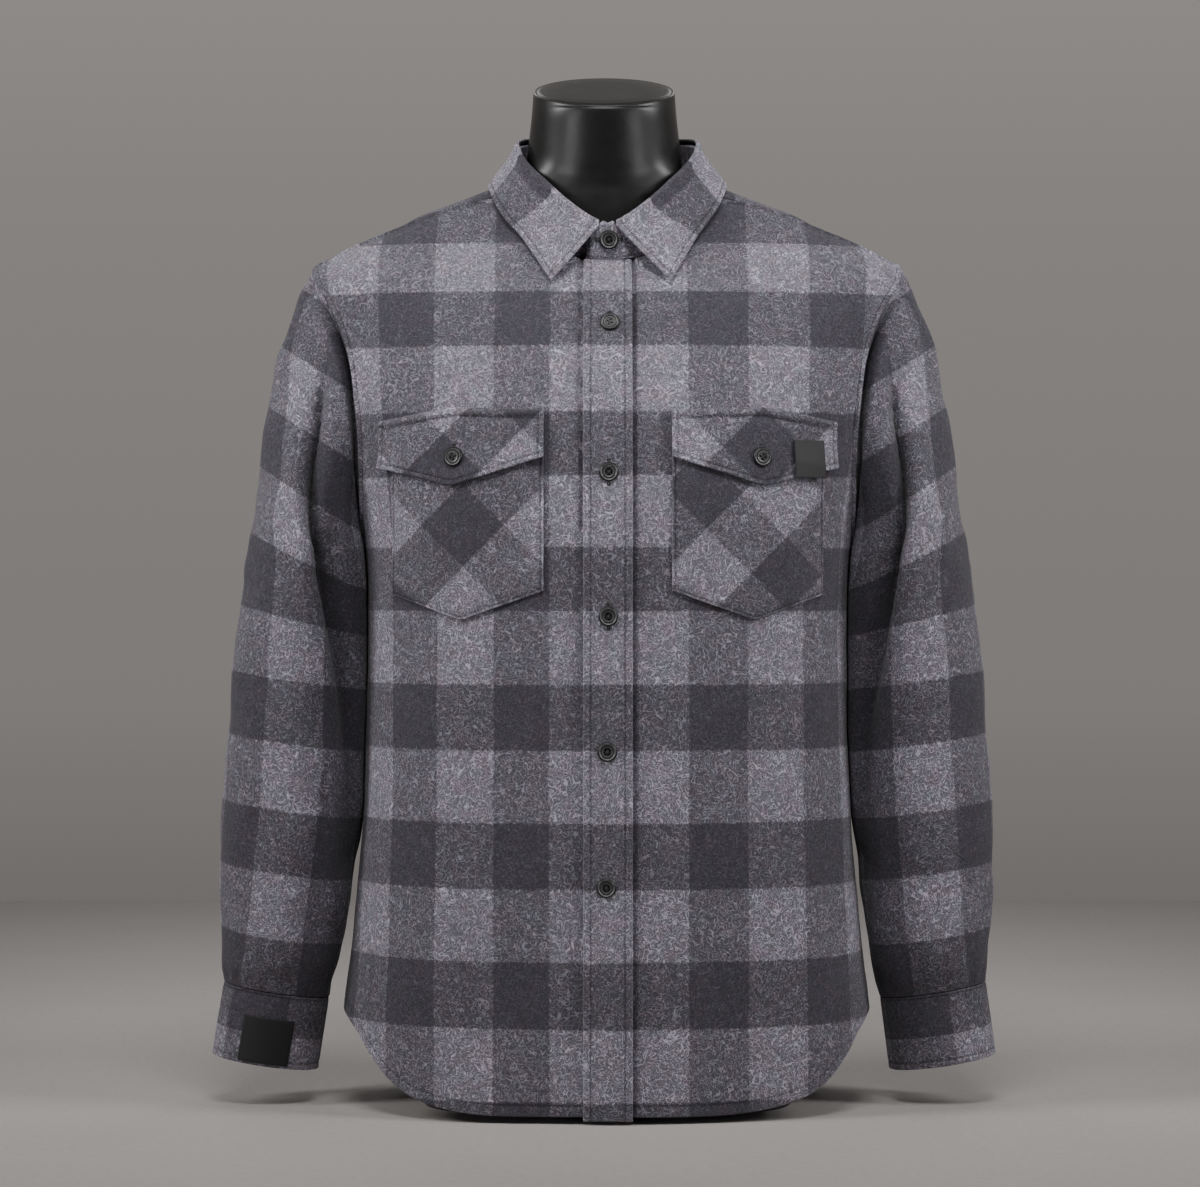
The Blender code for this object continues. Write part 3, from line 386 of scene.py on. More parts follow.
def cut(name, place, across, down, bands, flat, held, rests_on, *, node=None, area=None,
        thick=CLOTH, sewn="", rows=(), relief=None, edge_highlight=0.0, finish=None):
    """A piece of cloth: a grid laid on place(u, v, out) and given its thickness inwards.

    across and down are the grid's lines. bands(u, v, spots) counts the check's bands across and
    down, and may give a third value, a share of painted shade. sewn names the edges drawn back by
    half a seam: N is v = 0, S v = 1, W u = 0, E u = 1.
    rows are its stitches, and its edges can get a painted highlight. relief(u, v, spots, away)
    moves the cloth in or out, `away` being the distances from the edges.
    """
    u, v = np.meshgrid(across, down)
    spots = place(u, v, 0.0)
    facing = unit(place(u, v, 0.001) - spots)
    for side, edge, beside in (("N", np.s_[0], np.s_[1]), ("S", np.s_[-1], np.s_[-2]),
                               ("W", np.s_[:, 0], np.s_[:, 1]), ("E", np.s_[:, -1], np.s_[:, -2])):
        if side in sewn:
            spots[edge] += unit(spots[beside] - spots[edge]) * SEAM / 2
    north, west = (
        np.insert(np.cumsum(np.linalg.norm(np.diff(spots, axis=axis), axis=-1), axis), 0, 0.0, axis)
        for axis in (0, 1))
    away = {"W": west, "E": west[:, -1:] - west, "N": north, "S": north[-1:] - north}
    height = relief(u, v, spots, away) if relief else np.zeros(u.shape)
    for side, far, first, last in rows:
        along = v if side in "WE" else u
        within = np.clip((along - first) * 60, 0, 1) * np.clip((last - along) * 60, 0, 1)
        pucker = waves(spots, 0.010, 5, 1.0) * swell(away[side], far, *PUCKER)
        height = height + (pucker - swell(away[side], far, *STITCH_DIP)) * within
    roll = 1 - np.sqrt(1 - ramp(np.minimum.reduce(list(away.values())), ROUND, 0) ** 2)
    roll = roll * thick * ROLLED
    outer, inner = moved(spots, facing, height - roll), moved(spots, facing, height - thick + roll)

    grid = bmesh.new()
    bmesh.ops.create_grid(grid, x_segments=len(across) - 1, y_segments=len(down) - 1, size=0.5)
    lining = bmesh.ops.extrude_face_region(grid, geom=grid.faces[:])["geom"]
    lining = [item for item in lining if isinstance(item, bmesh.types.BMVert)]
    bmesh.ops.translate(grid, verts=lining, vec=(0, 0, 1))
    x, y, z = np.array([vert.co for vert in grid.verts]).T
    i = np.rint((x + 0.5) * (len(across) - 1)).astype(int)
    j = np.rint((0.5 - y) * (len(down) - 1)).astype(int)
    for vert, spot in zip(grid.verts, np.where(z[:, None] > 0.5, inner[j, i], outer[j, i])):
        vert.co = spot
    outwards(grid)
    mesh = meshed(name, grid)
    for key, values in (("bands", (*bands(u, v, spots), 0.0)[:3]),
                        ("from_start", (away["W"], away["N"], 0.0)),
                        ("from_end", (away["E"], away["S"], 0.0))):
        layer = mesh.attributes.new(key, "FLOAT_VECTOR", "POINT")
        layer.data.foreach_set("vector", points(*values)[j, i].astype(np.float32).ravel())
    word = name.removeprefix("shirt_")
    node = node or word
    piece = dressed(name, mesh, finish or flannel(f"{word}_flannel", rows, edge_highlight), 60)
    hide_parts(node)
    area or flat[0] * flat[1]


class Wire:
    """A shader socket that can stand in a sum."""

    def __init__(self, finish, socket):
        self.finish, self.socket = finish, socket

    def __add__(self, other):
        return self.finish.math("ADD", self, other)

    def __sub__(self, other):
        return self.finish.math("SUBTRACT", self, other)

    def __rsub__(self, other):
        return self.finish.math("SUBTRACT", other, self)

    def __mul__(self, other):
        return self.finish.math("MULTIPLY", self, other)

    def __truediv__(self, other):
        return self.finish.math("DIVIDE", self, other)

    def __abs__(self):
        return self.finish.math("ABSOLUTE", self)

    __radd__, __rmul__ = __add__, __mul__

    def sine(self):
        return self.finish.math("SINE", self)

    def clamp(self):
        return self.finish.add("Clamp", {}, {0: self})

    def near(self, at, within):
        """1 where the value is `at`, and 0 where it is `within` or more away."""
        return 1.0 - (abs(self - at) / within).clamp()


class Finish:
    """The nodes of a material, or of the room, added one at a time."""

    def __init__(self, name, kind="materials", place="Object"):
        self.owner = getattr(bpy.data, kind).new(name)
        self.owner.use_nodes = True
        self.tree = self.owner.node_tree
        self.tree.nodes.clear()
        self.place = self.add("TexCoord", out=place)

    def add(self, kind, settings=None, sockets=None, out=0):
        """A node: its settings first, then the values or links of its sockets."""
        node = self.tree.nodes.new("ShaderNode" + kind)
        for key, value in (settings or {}).items():
            if key == "stops":
                stops = node.color_ramp.elements
                for index, (at, colour) in enumerate(value):
                    stop = stops[index] if index < 2 else stops.new(at)
                    stop.position, stop.color = at, (*colour, 1.0)
            else:
                setattr(node, key, value)
        for key, value in (sockets or {}).items():
            if isinstance(value, Wire):
                self.tree.links.new(value.socket, node.inputs[key])
            else:
                node.inputs[key].default_value = value
        return Wire(self, node.outputs[out]) if node.outputs else node

    def math(self, operation, *values):
        return self.add("Math", {"operation": operation}, dict(enumerate(values)))

    def split(self, wire):
        """The three parts of a vector."""
        node = self.add("SeparateXYZ", {}, {0: wire}).socket.node
        return [Wire(self, socket) for socket in node.outputs]

    def attribute(self, name, out="Vector"):
        return self.add("Attribute", {"attribute_name": name}, out=out)

    def noise(self, scale, detail=2.0, rough=0.5, twist=0.0):
        """A cloudy value round a half."""
        return self.add("TexNoise", {}, {
            "Vector": self.place, "Scale": scale, "Detail": detail, "Roughness": rough,
            "Distortion": twist})

    def tint(self, share, first, second):
        """A colour between two, by share."""
        return self.add("Mix", {"data_type": "RGBA"}, {0: share, 6: first, 7: second}, 2)

    def scaled(self, colour, by):
        """A colour made lighter or darker."""
        return self.add("VectorMath", {"operation": "SCALE"}, {0: colour, 3: by})

    def bump(self, strength, distance, height):
        return self.add("Bump", {}, {"Strength": strength, "Distance": distance, "Height": height})

    def surface(self, **sockets):
        """The finished material, with these on the sockets of its shader."""
        sockets = {key.replace("_", " "): value for key, value in sockets.items()}
        shader = self.add("BsdfPrincipled", {}, sockets)
        self.add("OutputMaterial", {}, {"Surface": shader})
        return self.owner


LIGHT_YARN = (0.268, 0.250, 0.296)        # the cloth's mean colour where both yarns are light
DARK_TINT = (0.990, 0.980, 1.025)         # and how its hue differs where both are dark
COOL, WARM = (0.94, 1.02, 1.02), (1.08, 0.975, 1.0)   # the hues that it drifts between
CHECK = (0.264, 0.470, 0.592, 1.0)        # both dark, weft dark, warp dark, both light
FRAY, CRISP = 0.075, 14.0                 # how ragged and how sharp the edge of a band is
CURL = (128.0, 2.4, 1 / 21)               # curled fibres: scale, twist, half width
HAIR = (205.0, 2.6, 1 / 24)               # and finer ones
HAIR_LEVEL = 0.85
STITCH = 0.0026                           # one stitch and the gap after it
GROOVE_SHADE, YARN = (0.0014, 0.42), (0.0005, 0.35)         # half width of each, and how dark: painted shade in the groove, the thread's own colour
FOLD_SHADE_DARK = 0.70                        # and how dark the painted shade makes the cloth deep in a fold
SIDES = {"W": ("from_start", 0), "N": ("from_start", 1), "E": ("from_end", 0), "S": ("from_end", 1)}


def flannel(name, rows=(), edge_highlight=0.0):
    """Brushed yarn-dyed flannel: the check, curled fibres over it, and rows of stitches.

    The last argument paints a highlight along the folded edge itself.
    """
    cloth = Finish(name)
    across, down, fold_shade = cloth.split(cloth.attribute("bands"))
    fray = (cloth.noise(380.0, 3.0, 0.65) - 0.5) * FRAY
    warp, weft = ((((bands + fray) * pi).sine() * CRISP + 0.5).clamp() for bands in (across, down))
    dark, light = (CHECK[k] + (CHECK[k + 1] - CHECK[k]) * warp for k in (0, 2))
    level = dark + (light - dark) * weft

    curl, hair = (cloth.noise(scale, 0.0, 0.5, twist).near(0.5, within)
                  for scale, twist, within in (CURL, HAIR))
    grain = cloth.noise(1300.0, 2.0, 0.6)
    strand = cloth.math("MAXIMUM", curl, hair * HAIR_LEVEL)
    nap = ((level - CHECK[0]) * 4.6).clamp()
    shade = 1.0 + (strand - 0.25) * (1.05 + 0.70 * nap) + (grain - 0.5) * 0.5
    cloud = 0.88 + 0.24 * cloth.noise(30.0, 3.0, 0.6)
    # Painted shade: the cloth is darker deep in the sleeves' folds, from the third value of bands.
    shade = cloth.math("MAXIMUM", shade, 0.25) * cloud * (1.0 - fold_shade * FOLD_SHADE_DARK)
    for side, far, *_ in rows:
        key, axis = SIDES[side]
        parts = cloth.split(cloth.attribute(key))
        beat = ((parts[1 - axis] * (2 * pi / STITCH)).sine() * 4.0 + 1.0).clamp()
        # Painted shade along the stitched groove; the stitch itself is the thread's own darker
        # colour.
        groove_shade = parts[axis].near(far, GROOVE_SHADE[0]) * GROOVE_SHADE[1]
        stitch = parts[axis].near(far, YARN[0]) * beat * YARN[1]
        shade = shade * (1.0 - groove_shade) * (1.0 - stitch)
        if edge_highlight:
            # Painted highlight: a thin lighter line right along the folded edge.
            shade = shade + parts[axis].near(0.0, ROUND) * edge_highlight
    hue = (cloth.noise(88.0, 3.0, 0.65) * 3.0 - 1.0).clamp()
    ends = ((*np.multiply(LIGHT_YARN, tint).tolist(), 1.0) for tint in (COOL, WARM))
    colour = cloth.tint(hue, *ends)
    deep = cloth.add("VectorMath", {"operation": "MULTIPLY"}, {0: colour, 1: DARK_TINT})
    return cloth.surface(
        Base_Color=cloth.scaled(cloth.tint(nap, deep, colour), level * shade), Roughness=0.93,
        Normal=cloth.bump(0.5, 0.0006, strand * 0.7 + grain * 0.3), Specular_IOR_Level=0.22,
        Sheen_Weight=0.12, Sheen_Roughness=0.5)


def front(side, word, warp, width, area):
    """One front, from its inner edge to the side seam, worked out for the wearer's left."""
    inner = FLY + SEAM if side > 0 else -FLY
    share = NECK_SHARE[side]
    start = np.degrees(np.arcsin(inner / NECK_WIDE))

    def top(u):
        angle = start + (NECK_CORNER - start) * ramp(u, 0, share)
        return np.where(u < share, neckline(angle), yoke_front(ramp(u, share, 1)))

    def right(v):
        return side_seam(v, ARM_SHARE, 0)

    def left(v):
        z = fly_height(v, top(np.array(0.0))[1], hem_height(0.0))
        return np.array((turn_at(inner, z), z))

    def bottom(u):
        begin = left(np.array(1.0))[0]
        turn = begin + (90 - begin) * u
        return np.array((turn, hem_height(turn)))

    fill = patch(left, right, top, bottom)

    def place(u, v, out):
        return body(*fill(u, v), out) * (side, 1, 1)

    def bands(u, v, spots):
        turn, z = fill(u, v)
        return straight(warp, girth(turn, z) * np.sign(turn) * side), straight(WEFT, z)

    def relief(u, v, spots, away):
        beside = swell(np.abs(spots[..., 0]) - PLACKET_HALF, *BESIDE_PLACKET[side])
        felled = swell(away["E"], *ARM_FELL) * ramp(v, 0, FELL_FADE) * (v < ARM_SHARE)
        return body_relief(spots) + beside + felled + swell(away["N"], *YOKE_FELL) * (u > share)

    cut(f"shirt_front_{word}", place,
        lines(0.26, PANEL_STEP, stitched(ARM_ROW) + list(BESIDE_LINES[side])),
        lines(0.70, PANEL_STEP, stitched(HEM_ROW) + [0.0024, 0.0034, 0.0046]),
        bands, (width, 0.735), "draped", ("dress_form",), area=area, sewn="NSEW",
        rows=sewing("S", HEM_ROW) + sewing("E", ARM_ROW, 0.0, ARM_SHARE), relief=relief, edge_highlight=0.3)


front(1, "left", WARP_LEFT, 0.265, 0.172)
front(-1, "right", WARP_RIGHT, 0.302, 0.198)

# ---------------------------------------------------------------- the back
# One panel below the yoke, with the same curved shirt-tail hem. It is felled to the fronts at the
# sides, and has no pleat.

BACK_SHARE = 8 / 20       # share of its length above the armpit
BACK_WARP = 0.0478        # width of a warp band


def back():
    seam_turn, seam_z = ARMHOLE[BACK_SEAM]

    def left(v):
        return side_seam(v, BACK_SHARE, BACK_SEAM)

    def right(v):
        turn, z = left(v)
        return np.array((360 - turn, z))

    def top(u):
        return np.array((seam_turn + (360 - 2 * seam_turn) * u, u * 0 + seam_z))

    def bottom(u):
        turn = 90 + 180 * u
        return np.array((turn, hem_height(turn)))

    fill = patch(left, right, top, bottom)

    def bands(u, v, spots):
        turn, z = fill(u, v)
        run = girth(turn * 0 + 180, z) - girth(turn, z)
        return run / BACK_WARP + 0.5, straight(WEFT, z)

    cut("shirt_back", lambda u, v, out: body(*fill(u, v), out),
        lines(0.54, PANEL_STEP, stitched(ARM_ROW)), lines(0.61, PANEL_STEP, stitched(HEM_ROW)),
        bands, (0.575, 0.625), "draped", ("dress_form",), area=0.318, sewn="NSEW",
        rows=sewing("S", HEM_ROW) + sewing("WE", ARM_ROW, 0.0, BACK_SHARE),
        relief=lambda u, v, spots, away: body_relief(spots))


back()

# ---------------------------------------------------------------- the yoke
# One piece of flannel over both shoulders. Its seam allowances are felled downwards and stitched
# beside each seam.

YOKE_NECK = 0.25          # share of the yoke's width before the neckline starts, on each side
YOKE_ROW = 0.0025         # its rows of stitches
YOKE_WARP = (             # x, and bands across
    (-0.260, -3.1), (-0.152, -2), (-0.1136, -1), (-0.060, 0), (0.060, 1), (0.1045, 2),
    (0.1496, 3), (0.260, 4.1),
)
YOKE_WEFT = ((0, -2.5), (1, -0.1))      # and down, from the back seam
YOKE_SPINE = (0.62, 0.672)       # height the yoke bends round, at the centre and at the shoulder


def yoke():
    seam_turn, seam_z = ARMHOLE[BACK_SEAM]

    def edge(v):
        return skin(*armhole(BACK_SEAM + (len(ARMHOLE) - BACK_SEAM) * v))

    def far(u):
        half = np.minimum(u, 1 - u)
        tip = skin(*yoke_front(ramp(half, YOKE_NECK, 0)))
        turn = NECK_CORNER + (360 - 2 * NECK_CORNER) * ramp(half, YOKE_NECK, 1 - YOKE_NECK)
        made = np.where((half < YOKE_NECK)[..., None], tip, skin(*neckline(turn)))
        return made * np.where((u > 0.5)[..., None], (-1, 1, 1), (1, 1, 1))

    def near(u):
        return skin(seam_turn + (360 - 2 * seam_turn) * u, seam_z)

    nw, ne, sw, se = (line(np.array(end)) for line in (near, far) for end in (0.0, 1.0))

    def place(u, v, out):
        a, b = u[..., None], v[..., None]
        sides = edge(v) * (1 - a) + edge(v) * (-1, 1, 1) * a
        flat = (nw * (1 - a) + ne * a) * (1 - b) + (sw * (1 - a) + se * a) * b
        spot = sides + near(u) * (1 - b) + far(u) * b - flat
        low, high = YOKE_SPINE
        x = spot[..., 0]
        start = points(x, TORSO[-1][4], low + (high - low) * (np.abs(x) / TORSO_TIP) ** 2)
        within = np.minimum(np.minimum(u, 1 - u), np.minimum(v, 1 - v)) > 0.001
        spot = np.where(within[..., None], meet(start, unit(spot - start), TORSO_TIP), spot)
        return moved(spot, normal_at(spot), out)

    cut("shirt_yoke", place, lines(0.56, PANEL_STEP), lines(0.13, PANEL_STEP, stitched(YOKE_ROW)),
        lambda u, v, spots: (straight(YOKE_WARP, spots[..., 0]), straight(YOKE_WEFT, v)),
        (0.54, 0.19), "draped", ("dress_form",), area=0.077, sewn="NSEW",
        rows=(sewing("N", YOKE_ROW) + sewing("S", YOKE_ROW, 0.0, YOKE_NECK)
              + sewing("S", YOKE_ROW, 1 - YOKE_NECK, 1.0)))


yoke()

# ---------------------------------------------------------------- the sleeves
# Each sleeve is one tapered piece seamed under the arm, set into the armhole, with soft folds
# where it turns down from the shoulder. A strip binds the slit at its back above the cuff.

SLEEVE = (                # row, x, height, slope, half width and half depth of its rings
    (0, 0.2438, 0.4585, 32.8, 0.0532, 0.0760), (1, 0.2478, 0.4115, 18.4, 0.0530, 0.0710),
    (2, 0.2518, 0.3585, 9.0, 0.0550, 0.0660), (3, 0.2544, 0.3020, 8.0, 0.0564, 0.0630),
    (4, 0.2575, 0.2500, 8.0, 0.0570, 0.0610), (5, 0.2612, 0.2000, 8.0, 0.0562, 0.0600),
    (6, 0.2647, 0.1500, 8.5, 0.0517, 0.0570), (7, 0.2667, 0.1200, 8.5, 0.0478, 0.0530),
    (8, 0.26855, 0.0926, 8.7, 0.0437, 0.0400),
)
CAP_SHARE = 0.4           # share of the sleeve's length above the first ring
CAP_REACH = 1.3           # rows of ARMHOLE over which the cap's first direction is evened out
SEAM_REACH = 0.02         # and over which the seam's own direction is measured
CAP_START = 0.55          # tangent at the armhole and at the first ring, in chords
CAP_END = 0.80
SWING = {1: -0.003, -1: 0.004}   # how far the cuff hangs out from the mean, left and right
SWING_TOP = 0.26
FOLDS = (                 # troughs of the sleeve, and with a negative depth its full cap
    # turn at the top end, turn at the bottom end, top, bottom, depth, spread, power
    (0.0, 0.0, 0.0, 0.36, -0.0068, 60.0, 2.0),
    (56.0, 142.0, 0.05, 0.60, 0.0200, 9.5, 1.3),
    (34.0, 118.0, 0.05, 0.58, -0.0030, 12.0, 2.0),
    (112.0, 165.0, 0.20, 0.85, 0.0070, 12.0, 1.5),
)
VALLEY = (0.024, 0.015, 0.0115)  # the sleeve sinks beside the armhole: place, spread, depth
VALLEY_TURNS = (18, 58, 147, 172)       # in front: where it starts, is whole, fades and ends
SLEEVE_SAG, SLEEVE_FINE = (0.060, 0.0014), (0.028, 8, 0.0004)    # pitch, seed, height
GATHERS = (17, 0.035, 0.0012)    # above the cuff: how many, how far up they reach, depth
FOLD_SHADE_REACH = ((0, 1.0), (6, 0.55))   # how far past a trough the painted fold shade reaches, and how much of it
FOLD_SHADE_DEPTH = 0.016              # the depth of fold at which the painted shade is whole
LEAN_TURN, LEAN_SPREAD = 183.0, 34.0    # the side of the sleeve that lies against the body
LEAN_HEIGHTS = (0.20, 0.50, 0.045)      # from where to where it does, and how it fades
LEAN_GAP, LEAN_MOST = 0.0010, 0.0055    # what stays clear, and how far it swells at most
SLEEVE_WEFT = (           # place along the sleeve in rows of its table, and bands down the cloth
    (-5.0, -3), (-4.1, -2), (-3.2, -1), (-2.28, 0), (-1.40, 1), (-0.56, 2), (0.35, 3), (1.34, 4),
    (2.23, 5), (3.13, 6), (4.19, 7), (5.19, 8), (6.35, 9), (8.2, 10),
)
SLEEVE_WARP = (           # the same places, and the turns of a light warp band's two edges
    (-3.0, 6.0, 20.0), (-2.5, 10.0, 28.0), (-1.9, 18.5, 36.4), (-1.4, 29.4, 50.0),
    (-0.98, 38.0, 65.0), (-0.3, 51.0, 91.0), (0.4, 63.3, 111.0), (1.2, 66.5, 116.0),
    (5.0, 66.5, 116.0), (6.7, 60.0, 116.0), (8.0, 52.0, 115.0),
)
WARP_TURN = 49.5          # degrees that one warp band takes


def ring(row, turn):
    """Points on an oval ring: turn 0 is its outer end and 90 its front."""
    x, z, slope, wide, deep = row
    angle, tilt = np.radians(turn), np.radians(slope)
    far = wide * np.cos(angle)
    return points(x + far * np.cos(tilt), -deep * np.sin(angle), z + far * np.sin(tilt))


def loop_turn(t):
    """The turn round the sleeve that belongs to armhole position t."""
    return 360.0 * ((t + 0.5) / len(ARMHOLE) % 1.0)


def set_out(t, span):
    """The way the sleeve sets out from the armhole at t, and the way its cloth faces there."""
    near = [skin(*armhole(t + span * step)) for step in (-1, -0.5, 0, 0.5, 1)]
    outward = unit(sum(normal_at(spots) for spots in near))
    into = unit(np.cross(outward, unit(near[-1] - near[0])))
    under = (1 - np.cos(np.radians(loop_turn(t)))) / 2
    lift = (pi / 2 * under**1.5)[..., None]
    return (into * np.cos(lift) + outward * np.sin(lift),
            outward * np.cos(lift) - into * np.sin(lift))


def bare_sleeve(t, v):
    """The sleeve without its folds: t round the armhole, v from 0 at the armhole to 1."""
    turn = loop_turn(t)
    tube = ring(blend(SLEEVE, ramp(v, CAP_SHARE, 1) * (len(SLEEVE) - 1)), turn)
    start = skin(*armhole(t)) + set_out(t, SEAM_REACH)[0] * SEAM / 2
    end, past = (ring(blend(SLEEVE, row), turn) for row in (0.0, 0.2))
    chord = np.linalg.norm(end - start, axis=-1, keepdims=True)
    cap = curve(start, set_out(t, CAP_REACH)[0] * chord * CAP_START,
                end, unit(past - end) * chord * CAP_END, ramp(v, 0, CAP_SHARE)[..., None])
    return np.where((v >= CAP_SHARE)[..., None], tube, cap)


def fold_depth(turn, v):
    """How far the sleeve is drawn in by its folds."""
    depth = np.zeros(np.shape(turn))
    for turn0, turn1, v0, v1, deep, spread, power in FOLDS:
        share = ramp(v, v0, v1)
        away = (turn - (turn0 + (turn1 - turn0) * share) + 180) % 360 - 180
        depth = depth + np.sin(pi * share) * swell(away, 0, spread, deep, power)
    start, whole, fade, end = VALLEY_TURNS
    in_front = ramp(turn % 360, start, whole) * ramp(turn % 360, end, fade)
    return depth + swell(v, *VALLEY) * in_front * ramp(v, 0, 0.02)


def sleeve_place(t, v, out):
    """Points `out` outside the sleeve."""
    around = bare_sleeve(t + 0.02, v) - bare_sleeve(t - 0.02, v)
    down = bare_sleeve(t, np.minimum(v + 0.004, 1.0)) - bare_sleeve(t, np.maximum(v - 0.004, 0.0))
    facing = unit(np.cross(around, down))
    facing = np.where((v > 0.001)[..., None], facing, set_out(t, SEAM_REACH)[1])
    return moved(bare_sleeve(t, v), facing, out - fold_depth(loop_turn(t), v))


def swung(place, side):
    """A place function moved out by the sleeve's swing, then set on its side."""
    def move(u, v, out):
        x, y, z = columns(place(u, v, out))
        return points((x + SWING[side] * ramp(z, SWING_TOP, 0)) * side, y, z)
    return move


def along_sleeve(spots, side):
    """Where points lie along the sleeve, in rows of its table, and at which turn."""
    x, y, z = columns(spots)
    x = x * side - SWING[side] * ramp(z, SWING_TOP, 0)
    (_, _, first, slope, *_), (_, _, second, *_) = SLEEVE[:2]

    def seen_from(s):
        """The place across and up from a ring's middle, and the ring's half sizes."""
        cx, cz, tilt, wide, deep = blend(SLEEVE, s)
        above = np.minimum(s, 0) * (first - second)
        dx, dz, tilt = x - cx - above * np.sin(radians(slope)), z - cz + above, np.radians(tilt)
        return (dx * np.cos(tilt) + dz * np.sin(tilt), dz * np.cos(tilt) - dx * np.sin(tilt),
                wide, deep)

    s = bisect(x * 0 - 6.0, x * 0 + len(SLEEVE) - 1.0, lambda s: seen_from(s)[1] < 0)
    across, _, wide, deep = seen_from(s)
    return s, np.degrees(np.arctan2(-y / deep, across / wide))


def lean(turn, spots, height):
    """How much further the sleeve's inner side swells, to lie just clear of the body."""
    x, y, z = columns(spots)
    wide, deep, middle = section(y, z)
    beside = wide * ramp((np.abs(y - middle) / deep) ** BODY_SQUARE, 1, 0) ** (1 / BODY_SQUARE)
    clear = np.abs(x) - beside - height - body_relief(points(beside * np.sign(x), y, z))
    low, high, fade = LEAN_HEIGHTS
    share = ramp(z, low, low + fade) * ramp(z, high, high - fade)
    share = share * swell(turn % 360, LEAN_TURN, LEAN_SPREAD, 1.0, 4)
    return np.clip(clear - LEAN_GAP, 0, LEAN_MOST) * share


def sleeve(side, word):
    def around(u):
        return ARMPIT + len(ARMHOLE) * u

    def bands(u, v, spots):
        s, turn = along_sleeve(spots, side)
        turn = turn + 360 * np.rint((360 * (u - 0.5) - turn) / 360)
        outer, inner = blend(SLEEVE_WARP, s)
        past = (inner - turn) / WARP_TURN
        count = np.where(turn < outer, 1 + (outer - turn) / WARP_TURN,
                         (inner - turn) / (inner - outer))
        # The third value is painted shade: darker in the sleeve's folds and a little past them.
        at = loop_turn(around(u))
        deep = np.maximum.reduce([fold_depth(at - off, v) * share for off, share in FOLD_SHADE_REACH])
        return (np.where(turn > inner, past, count), straight(SLEEVE_WEFT, s),
                ramp(deep, 0, FOLD_SHADE_DEPTH))

    def relief(u, v, spots, away):
        count, up, deep = GATHERS
        gathers = np.sin(u * 2 * pi * count + 2 * np.sin(u * 19)) * np.exp(-(1 - v) / up) * deep
        pitch, high = SLEEVE_SAG
        height = waves(spots, pitch, 11 + side, high) + waves(spots, *SLEEVE_FINE) + gathers
        height = height * ramp(v, 0, 0.06) * ramp(v, 1, 0.97)
        return height + lean(loop_turn(around(u)), spots, height)

    cut(f"shirt_sleeve_{word}", swung(lambda u, v, out: sleeve_place(around(u), v, out), side),
        lines(0.40, PANEL_STEP), lines(0.60, PANEL_STEP), bands, (0.44, 0.60), "hung",
        (f"front_{word}", "back", "yoke"), area=0.181, sewn="WE", relief=relief)


CUFF_LAP_AT = 290.0       # degrees round the sleeve where the cuff's outer end lies
SLIT_TURN = 24.0          # degrees round the sleeve that the slit's strip takes
SLIT_ENDS = (0.66, 0.985)        # the strip's ends along the sleeve
SLIT_ROW = 0.002


def sleeve_placket(side, word):
    def place(u, v, out):
        t = (CUFF_LAP_AT - SLIT_TURN * (1 - u)) / 360 * len(ARMHOLE) - 0.5
        top, low = SLIT_ENDS
        return sleeve_place(t, top + (low - top) * v, out + LAID + CLOTH)

    def bands(u, v, spots):
        return 0.1 + u * 0.5, straight(SLEEVE_WEFT, along_sleeve(spots, side)[0])

    cut(f"slit_strip_{word}", swung(place, side), lines(0.024, 0.003, (SLIT_ROW,)),
        lines(0.16, PANEL_STEP), bands, (0.025, 0.17), "laid", (f"sleeve_{word}",),
        node=f"sleeve_placket_{word}", rows=sewing("WE", SLIT_ROW))


PAIR = ((1, "left"), (-1, "right"))     # the side of X, and the wearer's word for it
for side, word in PAIR:
    sleeve(side, word)
    sleeve_placket(side, word)

# ---------------------------------------------------------------- the cuffs
# Two layers of flannel with interfacing between, stitched all round, and buttoned at the back
# where the ends lap.

CUFF_TOP = (0.2686, 0.0922, 8.7, 0.0437, 0.0400)      # as the sleeve's rings
CUFF_BOTTOM = (0.2772, 0.0335, 8.7, 0.0440, 0.0405)
CUFF_LAP = 38.0           # degrees by which its ends lap
LAP_FROM = 312.0          # a band starts to sink under its own end here, and has sunk here
LAP_DEEP = 340.0
CUFF_ROW, CUFF_TOP_ROW = 0.0055, 0.0020
CUFF_WARP = {             # turn, and bands across
    1: ((-110, -1.8), (13, 0), (78, 1), (160, 2), (225, 3), (290, 4)),
    -1: ((-110, -1.6), (41, 1), (110, 2), (168, 3), (290, 5.4)),
}
CUFF_WEFT = ((0, 1.0), (0.48, 1.5), (0.56, 2.0), (1, 2.6))


def cuff_place(turn, v, out):
    """Points `out` outside the cuff."""
    row = [top + (bottom - top) * v for top, bottom in zip(CUFF_TOP, CUFF_BOTTOM)]
    around = ring(row, turn + 1) - ring(row, turn - 1)
    down = ring(CUFF_BOTTOM, turn) - ring(CUFF_TOP, turn)
    return moved(ring(row, turn), np.cross(around, down), out)


def lap_depth(run):
    """How far a band lies under its own outer end, `run` degrees along from that end."""
    return ramp(run, LAP_FROM, LAP_DEEP) * (BAND + LAID)


def cuff(side, word):
    def run(u):
        return (360 + CUFF_LAP) * u

    def place(u, v, out):
        return cuff_place(CUFF_LAP_AT - run(u), v, out - lap_depth(run(u)))

    def bands(u, v, spots):
        return straight(CUFF_WARP[side], CUFF_LAP_AT - run(u)), straight(CUFF_WEFT, v)

    cut(f"shirt_cuff_{word}", swung(place, side), lines(0.295, 0.003, stitched(CUFF_ROW)),
        lines(0.0595, 0.003, stitched(CUFF_ROW)), bands, (0.295, 0.060), "stretched",
        (f"sleeve_{word}",), thick=BAND, rows=sewing("SWE", CUFF_ROW) + sewing("N", CUFF_TOP_ROW))


for side, word in PAIR:
    cuff(side, word)

# ---------------------------------------------------------------- the collar
# A stand round the neck, its left end lapped over the right, and a fall that turns down over it,
# stitched a little inside its edge.

